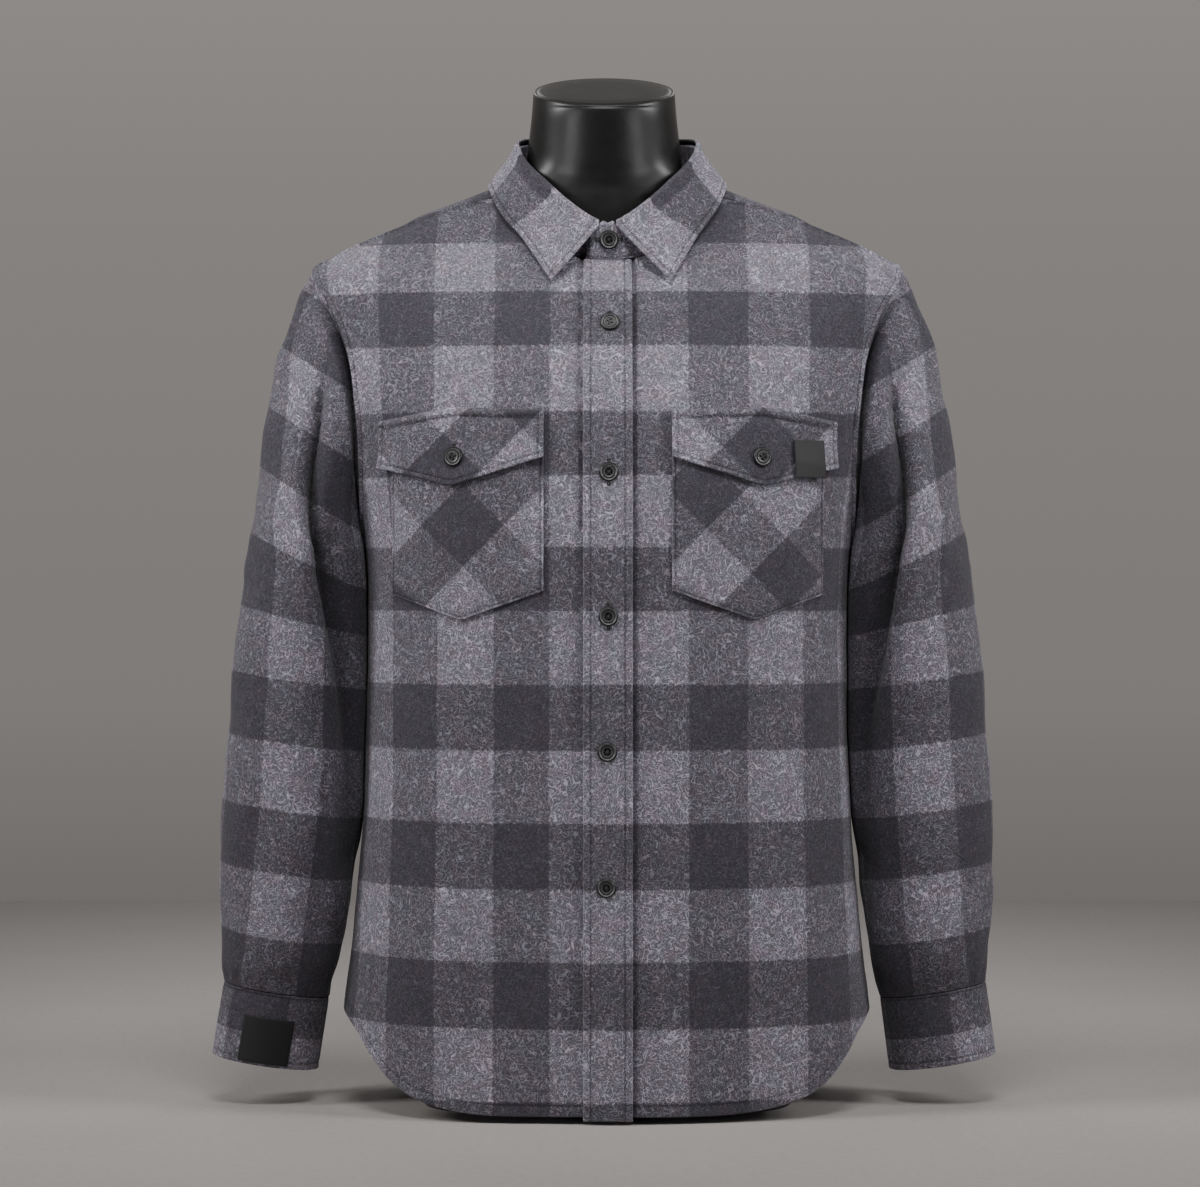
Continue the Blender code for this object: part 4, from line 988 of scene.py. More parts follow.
STAND_WIDE = 0.0745       # fold line seen from above: half width, depth and middle
STAND_DEEP = 0.0660
STAND_MIDDLE = 0.0105
STAND_LAP = 12.6          # degrees that each end of the stand runs past the centre front
STAND_RISE = (0.0, 4.8, 0.0060, 6)      # its top is higher between the collar's ends
STAND_ROUND = (5.6, 0.010)       # where its left end starts to round off, and by how much
STAND_ROW = 0.0022
FOLD = (                  # turn and height of the fold line
    (0.0, 0.7088), (14.0, 0.7190), (28.0, 0.7320), (44.0, 0.7480), (66.0, 0.7660), (84.0, 0.7800),
    (115.0, 0.7890), (180.0, 0.7930),
)
COLLAR_EDGE = (           # turn, x, y, z
    (5.0, 0.0485, -0.0750, 0.6670), (25.0, 0.0704, -0.0430, 0.7030),
    (45.0, 0.0826, -0.0345, 0.7185), (66.0, 0.0925, -0.0225, 0.7345),
    (90.0, 0.0985, 0.0060, 0.7520), (120.0, 0.0890, 0.0520, 0.7510),
    (150.0, 0.0530, 0.0850, 0.7450), (180.0, 0.0, 0.0930, 0.7430),
)
COLLAR_LEAN = 0.0030      # the points lie this far to the wearer's left
COLLAR_LEAN_END = 45.0    # the lean fades out by this turn
COLLAR_ENDS = 5.0         # degrees from the centre front to each end of the fold line
COLLAR_ROLL = 0.0043      # radius of the roll over the stand
COLLAR_ROLL_SHARE = 0.3   # share of the collar's rows in the roll
COLLAR_ROLL_TURN = (100.0, 10.0)        # degrees above the horizontal, inside and outside
COLLAR_START = 0.5        # tangent below the roll and at the edge, in chords
COLLAR_END = 0.8
COLLAR_ROW = 0.0048
COLLAR_WARP = (           # distance from the points, and bands across, left and right
    ((0.0, 0.1), (0.029, 1), (0.077, 2), (0.125, 3), (0.173, 4), (0.230, 5.2)),
    ((0.0, 0.1), (0.041, 1), (0.088, 2), (0.136, 3), (0.184, 4), (0.230, 5.2)),
)
COLLAR_WEFT = ((0.0, 1.1), (0.48, 1.98), (0.50, 2.0), (1.0, 2.9))


def half(turn):
    """A turn counted from the centre front, the same on either side."""
    return np.minimum(np.abs(turn), 360 - np.abs(turn))


def fold_line(turn):
    """Points on the line where the collar turns over, 0 at the centre front."""
    angle = np.radians(turn)
    return points(STAND_WIDE * np.sin(angle), STAND_MIDDLE - STAND_DEEP * np.cos(angle),
                  blend(FOLD, half(turn))[0])


def stand_spine(turn, v):
    """Points up the stand: its top is higher where no fall covers it, and its left end round."""
    start, drop = STAND_ROUND
    rise = swell((turn + 180) % 360 - 180, *STAND_RISE)
    rise = rise - drop * (1 - np.sqrt(1 - 0.98 * ramp(-turn, start, STAND_LAP) ** 2))
    top = fold_line(turn) + points(0.0, 0.0, rise - SEAM * 2)
    low = body(*neckline(np.where(turn <= 180, turn, turn - 360))) + (0, 0, SEAM)
    return top + (low - top) * v[..., None]


def stand_place(turn, v, out):
    """Points `out` outside the collar stand, v from 0 at the fold to 1 at the neckline."""
    around = stand_spine(turn + 1, v) - stand_spine(turn - 1, v)
    down = stand_spine(turn, v * 0 + 1.0) - stand_spine(turn, v * 0)
    return moved(stand_spine(turn, v), np.cross(down, around), out)


def collar_stand():
    def place(u, v, out):
        run = (360 + 2 * STAND_LAP) * u
        return stand_place(run - STAND_LAP, v, out - lap_depth(run) * 1.4)

    cut("shirt_collar_stand", place, lines(0.475, 0.003, np.arange(0.002, 0.026, 0.0011)),
        lines(0.033, 0.002), lambda u, v, spots: (2.1 + v * 0.8, u * 9.6 - 0.05), (0.475, 0.036),
        "stretched", ("yoke",), thick=BAND, rows=sewing("SW", STAND_ROW))


collar_stand()


def collar_skin(turn, v):
    """The collar's outer face, v from 0 inside the stand's top, over the roll, to 1 at the edge."""
    fold = fold_line(turn)
    outward = unit(points(fold[..., 0], fold[..., 1] - STAND_MIDDLE, 0.0))
    first, last = COLLAR_ROLL_TURN
    angle = np.radians(first + (last - first) * ramp(v, 0, COLLAR_ROLL_SHARE))[..., None]
    roll = outward * np.cos(angle) + np.array((0, 0, 1)) * np.sin(angle)
    roll = fold - outward * BAND / 2 + roll * COLLAR_ROLL
    x, y, z = blend(COLLAR_EDGE, half(turn))
    shift = COLLAR_LEAN * ramp(half(turn), COLLAR_LEAN_END, 0)
    end = points(np.where(turn <= 180, x + shift, shift - x), y, z)
    start = COLLAR_START * (0.15 + 0.85 * ramp(half(turn), COLLAR_ENDS, COLLAR_ENDS + 30))
    chord = np.linalg.norm(end - roll, axis=-1)
    leaf = curve(roll, points(0.0, 0.0, -chord * start), end, (end - roll) * COLLAR_END,
                 ramp(v, COLLAR_ROLL_SHARE, 1)[..., None])
    return np.where((v <= COLLAR_ROLL_SHARE)[..., None], roll, leaf)


def collar_fall():
    first, last = COLLAR_ENDS, 360 - COLLAR_ENDS

    def place(u, v, out):
        turn = first + (last - first) * u
        around = (collar_skin(np.minimum(turn + 0.5, last), v)
                  - collar_skin(np.maximum(turn - 0.5, first), v))
        down = (collar_skin(turn, np.minimum(v + 0.01, 1.0))
                - collar_skin(turn, np.maximum(v - 0.01, 0.0)))
        return moved(collar_skin(turn, v), np.cross(down, around), out)

    def bands(u, v, spots):
        left, right = (straight(warp, np.minimum(u, 1 - u) * 0.46) for warp in COLLAR_WARP)
        cross = np.where(u < 0.5, left, right)
        return np.where(np.floor(cross) % 2 == 1, straight(COLLAR_WEFT, v), 2.5), cross

    cut("shirt_collar_fall", place, lines(0.50, 0.003, stitched(COLLAR_ROW)),
        lines(0.062, 0.002, stitched(COLLAR_ROW)), bands, (0.50, 0.075), "folded",
        ("collar_stand",), area=0.0272, thick=BAND - SEAM,
        rows=sewing("S", COLLAR_ROW) + sewing("WE", COLLAR_ROW, 0.35, 1.0))


collar_fall()

# ---------------------------------------------------------------- the placket
# A straight band of two layers with interfacing down the right front's edge, stitched along both
# sides. Its top is tucked under the collar stand.

PLACKET_ENDS = (0.6864, 0.0030)
PLACKET_CUT = (0.040, 0.72)      # its flat width and length
PLACKET_ROW = 0.0060
PLACKET_ROLL = (0.0028, 0.0020, 0.0008)       # its rolled sides: place, spread, height
PLACKET_RIPPLE = (0.014, 21, 0.0006)          # its sides' unevenness: pitch, seed, height
TUCK, TUCK_SPREAD = 0.0018, 0.0045            # how far its top sinks under the stand


def on_front(x, z, lift, out=0.0):
    """Points `out` from the face of a piece that stands `lift` off the front.

    The points of that face itself are at x and z as seen from the front.
    """
    turn, height = turn_at(x, z), z
    for _ in range(3):
        away = normal_at(skin(turn, height)) * lift
        height = z - away[..., 2]
        turn = turn_at(x - away[..., 0], height)
    return body(turn, height, lift + out)


def placket():
    def place(u, v, out):
        z = fly_height(v, *PLACKET_ENDS)
        return on_front(PLACKET_HALF * (2 * u - 1), z, LAID + BAND, out)

    def relief(u, v, spots, away):
        far = PLACKET_CUT[0] * np.minimum(u, 1 - u)
        ripple = waves(spots, *PLACKET_RIPPLE) * np.exp(-far / 0.007)
        tucked = TUCK * np.exp(-v * 0.68 / TUCK_SPREAD)
        return body_relief(spots) + swell(far, *PLACKET_ROLL) + ripple - tucked

    cut("shirt_placket", place,
        lines(PLACKET_CUT[0], 0.0025, stitched(PLACKET_ROW) + [PLACKET_ROLL[0]]),
        lines(0.71, PANEL_STEP, (0.0025, 0.004, 0.006)),
        lambda u, v, spots: (0.1 + u * 0.8, straight(WEFT, spots[..., 2])), PLACKET_CUT, "laid",
        ("front_right",), thick=BAND, rows=sewing("WE", PLACKET_ROW), relief=relief, edge_highlight=0.35)


placket()

# ---------------------------------------------------------------- the pockets and flaps
# Chest pockets cut on the bias with pointed bottoms, stitched down on three sides. Pointed flaps
# of two layers are sewn on above them and button over them.

POCKET_X = (0.0506, 0.1165, 0.1720)       # inner edge, point, outer edge
POCKET_TOP = 0.540
POCKET_LOW = (0.4180, 0.3950, 0.4150)
POCKET_ROW = 0.0024
POCKET_BOW = (0.0016, 0.012)              # how far it bows out, and how near its edges that starts
FLAP_X = (0.0504, 0.1230, 0.1831)
FLAP_TOP = (0.5610, 0.5640, 0.5530)
FLAP_LOW = (0.5230, 0.5005, 0.5160)
FLAP_ROW, FLAP_TOP_ROW = 0.0045, 0.0075
FLAP_OUT = LAID + CLOTH + LAID + BAND     # how far a flap's face stands off the front
FLAP_ROLL, FLAP_DIP = (0.0038, 0.0022, 0.0007), (0.0080, 0.0016, 0.0010)   # below its top edge
FLAP_TUCK = 0.0016                        # how far that edge sinks, and the spread of it
FLAP_LIFT = (0.45, 1.5, 0.0022)           # its lower part lifts: from where, power, how far
BIAS = {                  # bands across and down the bias: x + z and x - z over the root of 2
    "pocket_right": (
        ((0.1287, -1), (0.1812, 0), (0.2287, 1), (0.2750, 2), (0.3225, 3), (0.37, 4)),
        ((-0.545, -1), (-0.4933, 0), (-0.4360, 1), (-0.3896, 2), (-0.3323, 3), (-0.28, 4))),
    "flap_right": (
        ((0.1975, 0), (0.2450, 1), (0.2917, 2), (0.3377, 3), (0.3852, 4)),
        ((-0.585, -1), (-0.5327, 0), (-0.4754, 1), (-0.4329, 2), (-0.3756, 3), (-0.33, 4))),
    "pocket_left": (
        ((0.2900, -1), (0.3375, 0), (0.3850, 1), (0.4245, 2), (0.4720, 3), (0.5195, 4)),
        ((-0.3221, 1), (-0.2756, 2), (-0.2261, 3), (-0.1835, 4), (-0.1262, 5))),
    "flap_left": (
        ((0.3442, -1), (0.3917, 0), (0.4392, 1), (0.4857, 2), (0.5332, 3)),
        ((-0.4210, -1), (-0.3691, 0), (-0.3118, 1), (-0.2627, 2), (-0.2054, 3), (-0.15, 4))),
}


def bias_bands(word):
    def bands(u, v, spots):
        x, _, z = columns(spots)
        warp, weft = BIAS[word]
        return straight(warp, (x + z) / 2**0.5), straight(weft, (x - z) / 2**0.5)
    return bands


def pocket(side, word):
    def place(u, v, out):
        x = np.interp(u, (0, 0.5, 1), POCKET_X)
        z = POCKET_TOP + (np.interp(x, POCKET_X, POCKET_LOW) - POCKET_TOP) * v
        return on_front(x, z, LAID + CLOTH, out) * (side, 1, 1)

    def relief(u, v, spots, away):
        far = np.minimum(np.minimum(u, 1 - u) * 0.125, (1 - v) * 0.135)
        out, near = POCKET_BOW
        return (out * (1 - np.exp(-far / near)) + waves(spots, 0.045, 41 + side, 0.0008)
                + waves(spots, 0.012, 42, 0.0004) * np.exp(-far / 0.005))

    cut(f"shirt_pocket_{word}", place, lines(0.125, 0.0035, stitched(POCKET_ROW)),
        lines(0.135, 0.0035, stitched(POCKET_ROW)), bias_bands(f"pocket_{word}"), (0.127, 0.147),
        "laid", (f"front_{word}",), area=0.0181, rows=sewing("WES", POCKET_ROW), relief=relief,
        edge_highlight=0.7)


def flap_lift(v):
    """How far a flap's lower part stands off the pocket."""
    start, power, high = FLAP_LIFT
    return ramp(v, start, 1) ** power * high


def flap(side, word):
    def place(u, v, out):
        x = np.interp(u, (0, 0.5, 1), FLAP_X)
        top, low = (np.interp(x, FLAP_X, heights) for heights in (FLAP_TOP, FLAP_LOW))
        return on_front(x, top + (low - top) * v, FLAP_OUT, out) * (side, 1, 1)

    def relief(u, v, spots, away):
        far = v * 0.052
        roll = swell(far, *FLAP_ROLL) - swell(far, *FLAP_DIP)
        roll = roll - FLAP_TUCK * np.exp(-far / FLAP_TUCK)
        return roll + flap_lift(v) + waves(spots, 0.016, 31 + side, 0.0004)

    cut(f"shirt_flap_{word}", place, lines(0.136, 0.003, stitched(FLAP_ROW)),
        lines(0.055, 0.003, stitched(FLAP_ROW, FLAP_TOP_ROW)), bias_bands(f"flap_{word}"),
        (0.138, 0.064), "laid", (f"pocket_{word}",), area=0.0075, thick=BAND,
        rows=sewing("N", FLAP_TOP_ROW) + sewing("SWE", FLAP_ROW), relief=relief)


for side, word in PAIR:
    pocket(side, word)
    flap(side, word)

# ---------------------------------------------------------------- the labels
# Two bare labels of black satin ribbon, one folded round the left flap's edge and one sewn on the
# right cuff.

LABEL = 0.001             # its thickness
LABEL_STEP = 0.002
ON_TOP = 2 * SEAM         # gap under a button, and under the label on the flap
FLAP_LABEL_X = (0.1472, 0.1717)
FLAP_LABEL_Z = (0.5373, 0.5073)
CUFF_LABEL_TURNS = (64.0, 118.0)
CUFF_LABEL_ROWS = (0.34, 0.96)


def ribbon(name, tone):
    """Black satin ribbon: fine ribs across and a faint slub along."""
    cloth = Finish(name)
    x, _, z = cloth.split(cloth.place)
    ribs, threads = ((at * pitch).sine() * 0.5 + 0.5 for at, pitch in ((z, 9000.0), (x, 7000.0)))
    slub = cloth.noise(900.0, 2.0, 0.6)
    shade = 0.80 + 0.14 * ribs + 0.08 * threads + (slub - 0.5) * 0.5
    return cloth.surface(
        Base_Color=cloth.scaled((tone, tone * 0.98, tone * 1.06), shade), Roughness=0.62,
        Normal=cloth.bump(0.3, 0.0002, ribs * 0.6 + threads * 0.4), Specular_IOR_Level=0.35)


def between(ends, share):
    return ends[0] + (ends[1] - ends[0]) * share


def on_flap(u, v, out):
    x, z = between(FLAP_LABEL_X, u), between(FLAP_LABEL_Z, v)
    rise = flap_lift((np.interp(x, FLAP_X, FLAP_TOP) - z) / 0.038) + 0.0004
    return on_front(x, z, FLAP_OUT + ON_TOP + LABEL, out + rise)


def on_cuff(u, v, out):
    return cuff_place(between(CUFF_LABEL_TURNS, u), between(CUFF_LABEL_ROWS, v), out + LAID + LABEL)


for word, carrier, place, grid, flat, tone in (
        ("flap", "flap_left", on_flap, (0.0245, 0.030), (0.0245, 0.030), 0.030),
        ("cuff", "cuff_right", swung(on_cuff, -1), (0.040, 0.037), (0.041, 0.038), 0.013)):
    cut(f"ribbon_label_{word}", place, *(lines(length, LABEL_STEP) for length in grid),
        lambda u, v, spots: (u, v), flat, "laid", (carrier,), node=f"{word}_label", thick=LABEL,
        finish=ribbon(f"{word}_ribbon", tone))

# ---------------------------------------------------------------- the buttons
# Ten dark moulded buttons with a rounded rim, a groove, a dished middle and four holes, each sewn
# on with crossed thread over a worked buttonhole.

BUTTON = 0.0078           # radius of a button
PROFILE = (               # share of the radius and height, from the rim over the top, then below
    (1.0, 0.0009), (0.985, 0.0016), (0.93, 0.0023), (0.86, 0.0026), (0.78, 0.0025), (0.71, 0.0020),
    (0.66, 0.00165), (0.61, 0.0018), (0.56, 0.00185), (0.48, 0.0016), (0.40, 0.0014), (0.0, 0.0013),
    (0.0, 0.0), (0.9, 0.0), (0.98, 0.0004),
)
HOLE = 0.0009             # radius of a hole, and its distance from the middle along x and y
HOLE_AT = 0.00135
HOLE_LONG = 0.0102        # half the length of a buttonhole
OUTER_HIGHLIGHT, INNER_HIGHLIGHT = (0.775, 0.085), (0.500, 0.080)   # where its painted highlight rings lie: share, half width
FRONT_BUTTONS = (         # x and height
    (0.0016, 0.6312), (0.0008, 0.5112), (0.0004, 0.3980), (-0.0004, 0.2920), (-0.0012, 0.1856),
)
FLAP_BUTTON = (0.1215, 0.5235)
STAND_BUTTON = (0.8, 0.46)       # turn, and share of the stand's height
CUFF_BUTTON = (CUFF_LAP_AT - CUFF_LAP * 0.45, 0.5)
BUTTON_DROOP = 0.8        # a button faces less far up or down than the cloth does


def moulded(name):
    """Black polyester with two rings painted lighter as highlights, clouded."""
    plastic = Finish(name)
    share = plastic.attribute("ring", "Fac")
    # Painted highlight: two lighter rings where the button's gloss would catch the lights.
    ring_highlights = 0.006 + 0.120 * share.near(*OUTER_HIGHLIGHT) + 0.080 * share.near(*INNER_HIGHLIGHT)
    cloud = plastic.noise(260.0, 3.0, 0.6, 1.5)
    return plastic.surface(
        Base_Color=plastic.scaled((1.0, 1.0, 1.03), ring_highlights * (0.55 + 0.9 * cloud)),
        Roughness=0.34 + cloud * 0.14, Normal=plastic.bump(0.12, 0.0002, plastic.noise(1500.0)),
        Coat_Weight=0.1, Coat_Roughness=0.2)


def thread(name, tone):
    """Twisted sewing thread."""
    yarn = Finish(name)
    twist = yarn.noise(2600.0, 2.0, 0.6, 1.0)
    return yarn.surface(Base_Color=yarn.scaled((tone, tone, tone * 1.05), 0.7 + 0.6 * twist),
                        Roughness=0.7, Normal=yarn.bump(0.4, 0.0001, twist))


def button_mesh():
    """One button: its profile spun round, and its holes cut through."""
    shape = bmesh.new()
    loop = [shape.verts.new((BUTTON * share, 0, height)) for share, height in PROFILE]
    edges = [shape.edges.new(pair) for pair in zip(loop, loop[1:] + loop[:1])]
    bmesh.ops.spin(shape, geom=loop + edges, axis=(0, 0, 1), cent=(0, 0, 0), angle=2 * pi,
                   steps=40, use_merge=True)
    bmesh.ops.remove_doubles(shape, verts=shape.verts[:], dist=1e-6)
    empty = [face for face in shape.faces if face.calc_area() < 1e-13]
    bmesh.ops.delete(shape, geom=empty, context="FACES_ONLY")
    bmesh.ops.recalc_face_normals(shape, faces=shape.faces[:])
    holes = bmesh.new()
    for x in (-HOLE_AT, HOLE_AT):
        for y in (-HOLE_AT, HOLE_AT):
            bmesh.ops.create_cone(holes, cap_ends=True, segments=14, radius1=HOLE, radius2=HOLE,
                                  depth=0.006, matrix=Matrix.Translation((x, y, 0.001)))
    blank = placed("button_blank", meshed("button_disc", shape))
    tool = placed("button_tool", meshed("button_drill", holes))
    cutter = blank.modifiers.new("holes", "BOOLEAN")
    cutter.object = tool
    cutter.solver = "EXACT"
    seen = bpy.context.evaluated_depsgraph_get()
    made = bpy.data.meshes.new_from_object(blank.evaluated_get(seen))
    for obj in (blank, tool):
        bpy.data.objects.remove(obj)
    shares = [vert.co.xy.length / BUTTON for vert in made.vertices]
    made.attributes.new("ring", "FLOAT", "POINT").data.foreach_set("value", shares)
    return made


def beads(name, rows, around, high):
    """Flattened beads, each at its place with its three half sizes."""
    shape = bmesh.new()
    for place, *sizes in rows:
        bmesh.ops.create_uvsphere(shape, u_segments=around, v_segments=high, radius=1.0,
                                  matrix=place @ Matrix.Diagonal((*sizes, 1.0)))
    return meshed(name, shape)


BUTTON_MADE = button_mesh()
THREAD_MADE = beads("button_thread", [   # two crossed pairs of thread between the holes
    (Matrix.Rotation(angle, 4, "Z") @ Matrix.Translation((0, shift, 0.0014)),
     HOLE_AT * 1.45, 0.00030, 0.00042)
    for angle in (pi / 4, -pi / 4) for shift in (-0.00028, 0.00028)], 8, 6)
HOLE_MADE = beads("buttonhole", [        # two whipped edges, and a bar at each end
    (Matrix.Translation((x, y, 0)), half_wide, long, 0.00045) for x, y, half_wide, long in (
        (-0.0009, 0, 0.0007, HOLE_LONG), (0.0009, 0, 0.0007, HOLE_LONG),
        (0, HOLE_LONG, 0.0019, 0.0009), (0, -HOLE_LONG, 0.0019, 0.0009))], 12, 8)
BUTTON_FINISH = moulded("button_polyester")
THREAD_FINISH = thread("button_thread", 0.035)
HOLE_FINISH = thread("buttonhole_thread", 0.030)


def button(node, centre, facing, roll=0.0):
    """A button, the thread through it and the worked buttonhole under it."""
    facing = Vector(unit(np.array(facing, float) * (1, 1, BUTTON_DROOP)))
    turned = facing.to_track_quat("Z", "Y").to_matrix().to_4x4()
    centre = Vector(centre)
    across = pi / 2 if node == "button_stand" else 0.0
    for kind, made, spot, spin, finish in (
            ("set", BUTTON_MADE, centre, roll, BUTTON_FINISH),
            ("thread", THREAD_MADE, centre, roll, THREAD_FINISH),
            ("hole", HOLE_MADE, centre - facing.normalized() * ON_TOP, across, HOLE_FINISH)):
        mesh = made.copy()
        mesh.transform(Matrix.Translation(spot) @ turned @ Matrix.Rotation(spin, 4, "Z"))
        piece = dressed(f"{kind}_{node}", mesh, finish, 35)
        if kind == "set":
            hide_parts(node)


def button_on(node, place, turn, v, roll):
    """A button on a band, by its place function."""
    centre, past = (place(np.array(turn), np.array(v), out) for out in (ON_TOP, 4 * ON_TOP))
    button(node, centre, past - centre, roll)


button_on("button_stand", stand_place, *STAND_BUTTON, 0.3)
for index, (x, z) in enumerate(FRONT_BUTTONS, 1):
    button(f"button_{index}", on_front(np.array(x), np.array(z), LAID + BAND + SEAM),
           normal_at(skin(turn_at(x, z), z)), 0.35 * index)
for side, word in PAIR:
    x, z = FLAP_BUTTON
    centre = on_front(np.array(x), np.array(z), FLAP_OUT + ON_TOP)
    button(f"button_flap_{word}", centre * (side, 1, 1),
           normal_at(skin(turn_at(x, z), z)) * (side, 1, 1), 0.5 * side)
    button_on(f"button_cuff_{word}", swung(cuff_place, side), *CUFF_BUTTON, 0.2)

# ---------------------------------------------------------------- the dress form
# A limbless torso of black satin plastic, moulded in one piece, with a cap that leans forward on
# its neck. The whole shirt hangs on it.

FORM = (                  # height, half width, depth in front, depth behind
    (0.000, 0.150, 0.098, 0.100), (0.050, 0.158, 0.104, 0.106), (0.150, 0.163, 0.108, 0.112),
    (0.300, 0.150, 0.103, 0.100), (0.420, 0.168, 0.116, 0.106), (0.500, 0.180, 0.121, 0.114),
    (0.560, 0.188, 0.109, 0.116), (0.610, 0.196, 0.090, 0.111), (0.650, 0.200, 0.068, 0.104),
)
FORM_END = 0.200          # the shoulders end flat at this half width
FORM_SEAT = 0.0033        # below the yoke's lining side
FORM_DOME = (0.684, 0.696, 0.708, 0.720)
NECK_SHIFT = -0.0028      # the neck stands this far to the wearer's right
NECK = (                  # height, half width, depth in front and behind, middle, squareness
    (0.7290, 0.1120, 0.0190, 0.0790, 0.0080, 2.35), (0.7380, 0.0790, 0.0290, 0.0640, 0.0110, 2.20),
    (0.7470, 0.0700, 0.0370, 0.0590, 0.0110, 2.05), (0.7570, 0.0655, 0.0405, 0.0595, 0.0095, 2.00),
    (0.7680, 0.0640, 0.0430, 0.0590, 0.0080, 2.00), (0.7850, 0.0620, 0.0460, 0.0560, 0.0050, 2.00),
    (0.8060, 0.0595, 0.0500, 0.0520, 0.0010, 2.00),
)
THROAT = (0.0385, 0.700, 0.760, 0.068)    # depth of the throat, from and to this height, half width
CAP_TILT = 20.0           # the neck cap leans forward
CAP_MIDDLE = 0.826
CAP_WIDE = 0.0580
CAP_DEEP = 0.0530
CAP_RIM = (               # share of the cap's size, and height above it
    (0.997, 0.0007), (0.985, 0.0016), (0.965, 0.0019), (0.950, 0.0014), (0.935, 0.0020),
    (0.90, 0.0025), (0.60, 0.0026), (0.30, 0.0026), (0.0, 0.0026),
)
FORM_BASE = (0.0, 0.5, 0.97)              # shares of the base's size where its rings lie


def satin(name, tone, rough):
    """Satin moulded plastic with a faint orange peel and dust."""
    plastic = Finish(name)
    dust = (plastic.noise(52.0, 4.0, 0.65) * 2.4 - 0.9).clamp()
    return plastic.surface(
        Base_Color=plastic.scaled((tone, tone, tone * 1.04), 0.85 + 0.4 * dust),
        Roughness=rough + dust * 0.08, Normal=plastic.bump(0.12, 0.0004, plastic.noise(380.0)),
        Specular_IOR_Level=0.5)


def dress_form():
    turns = np.arange(0, 360, 3.0)
    angle = np.radians(turns)
    rings = [points(*oval(turns, wide, front, back, 0.0, BODY_SQUARE), z)
             for z, wide, front, back in FORM]
    for z in FORM_DOME:
        x, y, z = columns(body(turns, z, -CLOTH - FORM_SEAT))
        rings.append(points(np.clip(x, -FORM_END, FORM_END), y, z))
    rings += [points(*oval(turns, *row), z) + (NECK_SHIFT, 0, 0) for z, *row in NECK]
    deep, low, high, wide = THROAT
    for hoop in rings:
        if low < hoop[0, 2] < high:
            fill = -deep * np.sqrt(np.clip(1 - ((hoop[:, 0] - NECK_SHIFT) / wide) ** 2, 0, 1))
            in_front = np.cos(angle) > 0
            hoop[:, 1] = np.where(in_front, np.minimum(hoop[:, 1], fill), hoop[:, 1])
    tilt = np.array(Matrix.Rotation(radians(CAP_TILT), 3, "X"))
    pivot = np.array((NECK_SHIFT, NECK[-1][4], CAP_MIDDLE))

    def cap_ring(share, rise):
        x, y = CAP_WIDE * share * np.sin(angle), -CAP_DEEP * share * np.cos(angle)
        return points(x, y, rise) @ tilt.T + pivot

    rings.append(cap_ring(1.0, 0.0))
    fine = np.linspace(0, len(rings) - 1, (len(rings) - 1) * 4 + 1)
    smooth = points(*blend([(index, *hoop.ravel()) for index, hoop in enumerate(rings)], fine))
    smooth = smooth.reshape(len(fine), -1, 3)
    every = np.array([smooth[0] * (share, share, 1) for share in FORM_BASE] + [*smooth]
                     + [cap_ring(*row) for row in CAP_RIM])
    grid = bmesh.new()
    bmesh.ops.create_grid(grid, x_segments=len(turns), y_segments=len(every) - 1, size=0.5)
    for vert in grid.verts:
        i = round((vert.co.x + 0.5) * len(turns)) % len(turns)
        vert.co = every[round((vert.co.y + 0.5) * (len(every) - 1)), i]
    bmesh.ops.remove_doubles(grid, verts=grid.verts[:], dist=1e-6)
    outwards(grid)
    piece = dressed("torso_form", meshed("torso_form", grid), satin("form_satin", 0.006, 0.34), 60)
    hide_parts("dress_form")


dress_form()
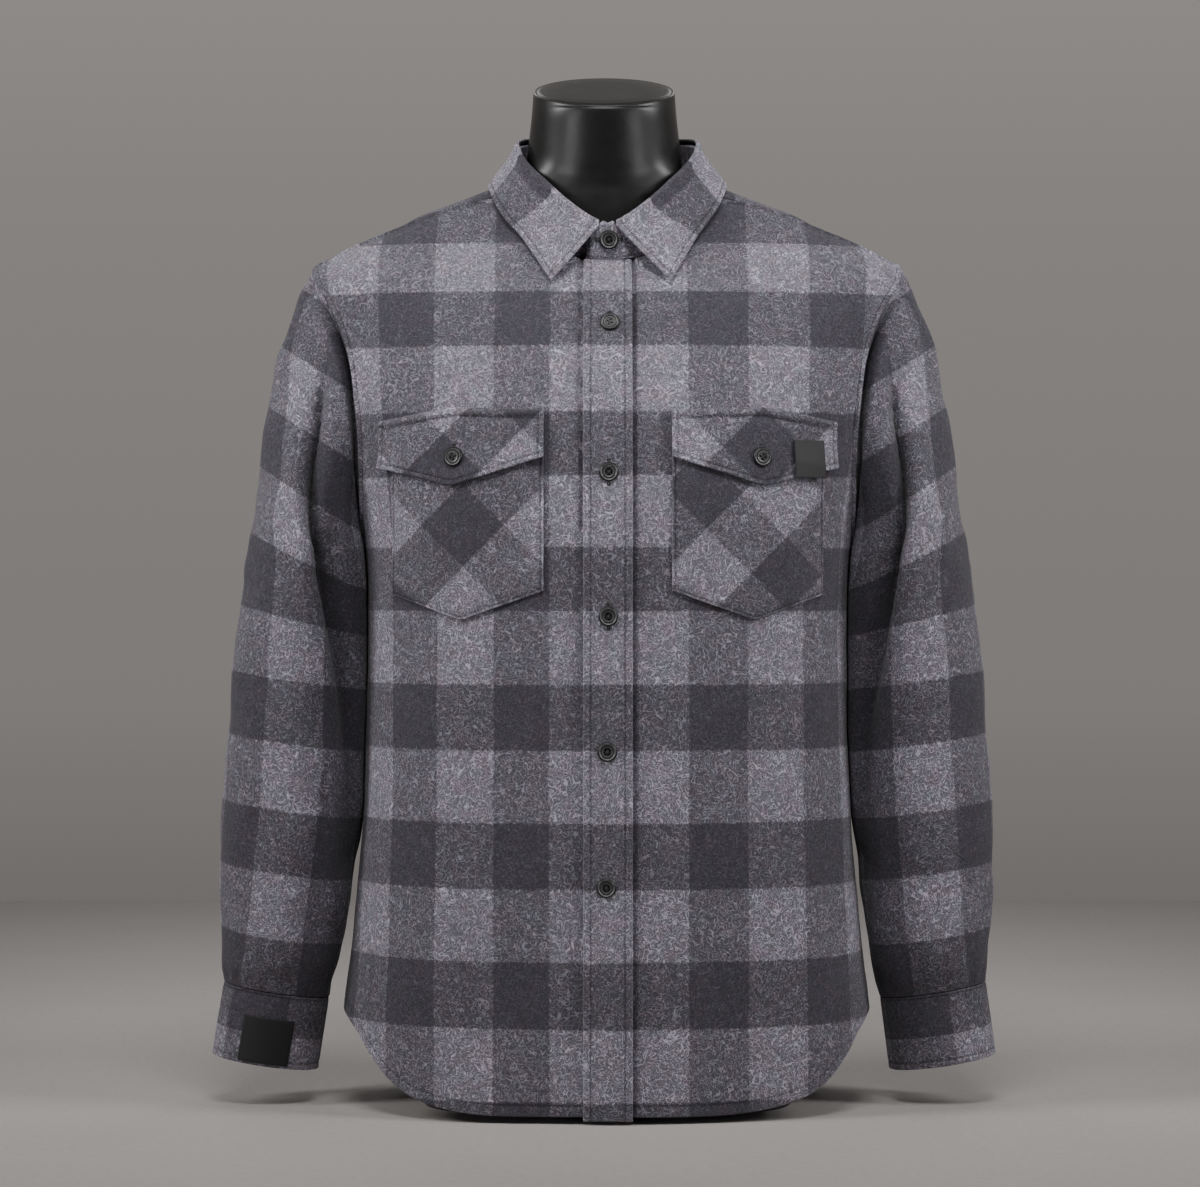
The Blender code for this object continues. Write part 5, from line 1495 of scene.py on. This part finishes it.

# ---------------------------------------------------------------- the studio
# An eight-sided pale floor in a grey room painted darker below the eye, a light high in front, a
# soft bank and a narrow strip of light at each side, and two weak ones behind.

FLOOR = 1.95              # distance from the middle of the floor to its sides
ROOM = (                  # the room's grey from below the level of the eye to above it: painted light falloff
    (0.0, (0.150, 0.139, 0.131)), (0.25, (0.212, 0.198, 0.188)), (0.70, (0.240, 0.224, 0.213)),
    (1.0, (0.290, 0.272, 0.258)),
)
ROOM_FROM, ROOM_TO = -0.10, 0.18
ROOM_FILL = ((0.40, 0.40, 0.41, 1.0), 0.07)    # what it adds to the light: colour, strength
WIDE, NARROW = radians(80), radians(60)  # how widely the lights in front throw, as behind a grid
LIGHTS = (                # name, place, what it points at, width and height, power, spread
    ("key", (0.0, -1.40, 2.35), (0, 0, 0.80), (1.0, 0.5), 5.7, WIDE),
    ("left_bank", (-1.80, -0.75, 1.50), (0, 0, 0.70), (0.6, 1.2), 5.8, WIDE),
    ("right_bank", (1.80, -0.75, 1.50), (0, 0, 0.70), (0.6, 1.2), 5.3, WIDE),
    ("left_strip", (-1.26, -1.36, 0.45), (0, 0, 0.80), (0.28, 0.7), 0.60, NARROW),
    ("right_strip", (1.26, -1.36, 0.45), (0, 0, 0.80), (0.28, 0.7), 0.53, NARROW),
    ("left_back", (-0.9, 1.85, 2.10), (0, 0, 0.60), (1.0, 1.0), 6.5, pi),
    ("right_back", (0.9, 1.85, 2.10), (0, 0, 0.60), (1.0, 1.0), 6.5, pi),
)

paper = Finish("floor_paper")
cloud = 0.78 + 0.12 * paper.noise(3.0, 4.0, 0.6) + 0.32 * paper.noise(150.0, 3.0, 0.6)
disc = bmesh.new()
bmesh.ops.create_circle(disc, cap_ends=True, segments=8, radius=FLOOR / cos(pi / 8),
                        matrix=Matrix.Rotation(pi / 8, 4, "Z"))
floor = placed("studio_floor", meshed("studio_floor", disc))
floor.data.materials.append(paper.surface(
    Base_Color=paper.scaled((0.500, 0.466, 0.446), cloud), Roughness=0.85))

room = Finish("studio", "worlds", "Generated")
level = room.add("MapRange", {}, {
    "Value": room.split(room.place)[2], "From Min": ROOM_FROM, "From Max": ROOM_TO})
# What the camera and glossy rays see: a backdrop with painted light falloff, darker lower down.
seen = room.add("Background", {}, {"Color": room.add("ValToRGB", {"stops": ROOM}, {0: level})})
made = room.add("Background", {}, dict(zip(("Color", "Strength"), ROOM_FILL)))
for kind in ("Is Camera Ray", "Is Glossy Ray"):
    made = room.add("MixShader", {}, {0: room.add("LightPath", out=kind), 1: made, 2: seen})
room.add("OutputWorld", {}, {"Surface": made})
bpy.context.scene.world = room.owner

for name, spot, target, size, power, spread in LIGHTS:
    light = bpy.data.lights.new(name, "AREA")
    light.shape = "RECTANGLE"
    light.size, light.size_y = size
    light.energy = power
    light.spread = spread
    lamp = placed(name, light)
    lamp.location = spot
    lamp.rotation_euler = (Vector(target) - Vector(spot)).to_track_quat("-Z", "Y").to_euler()
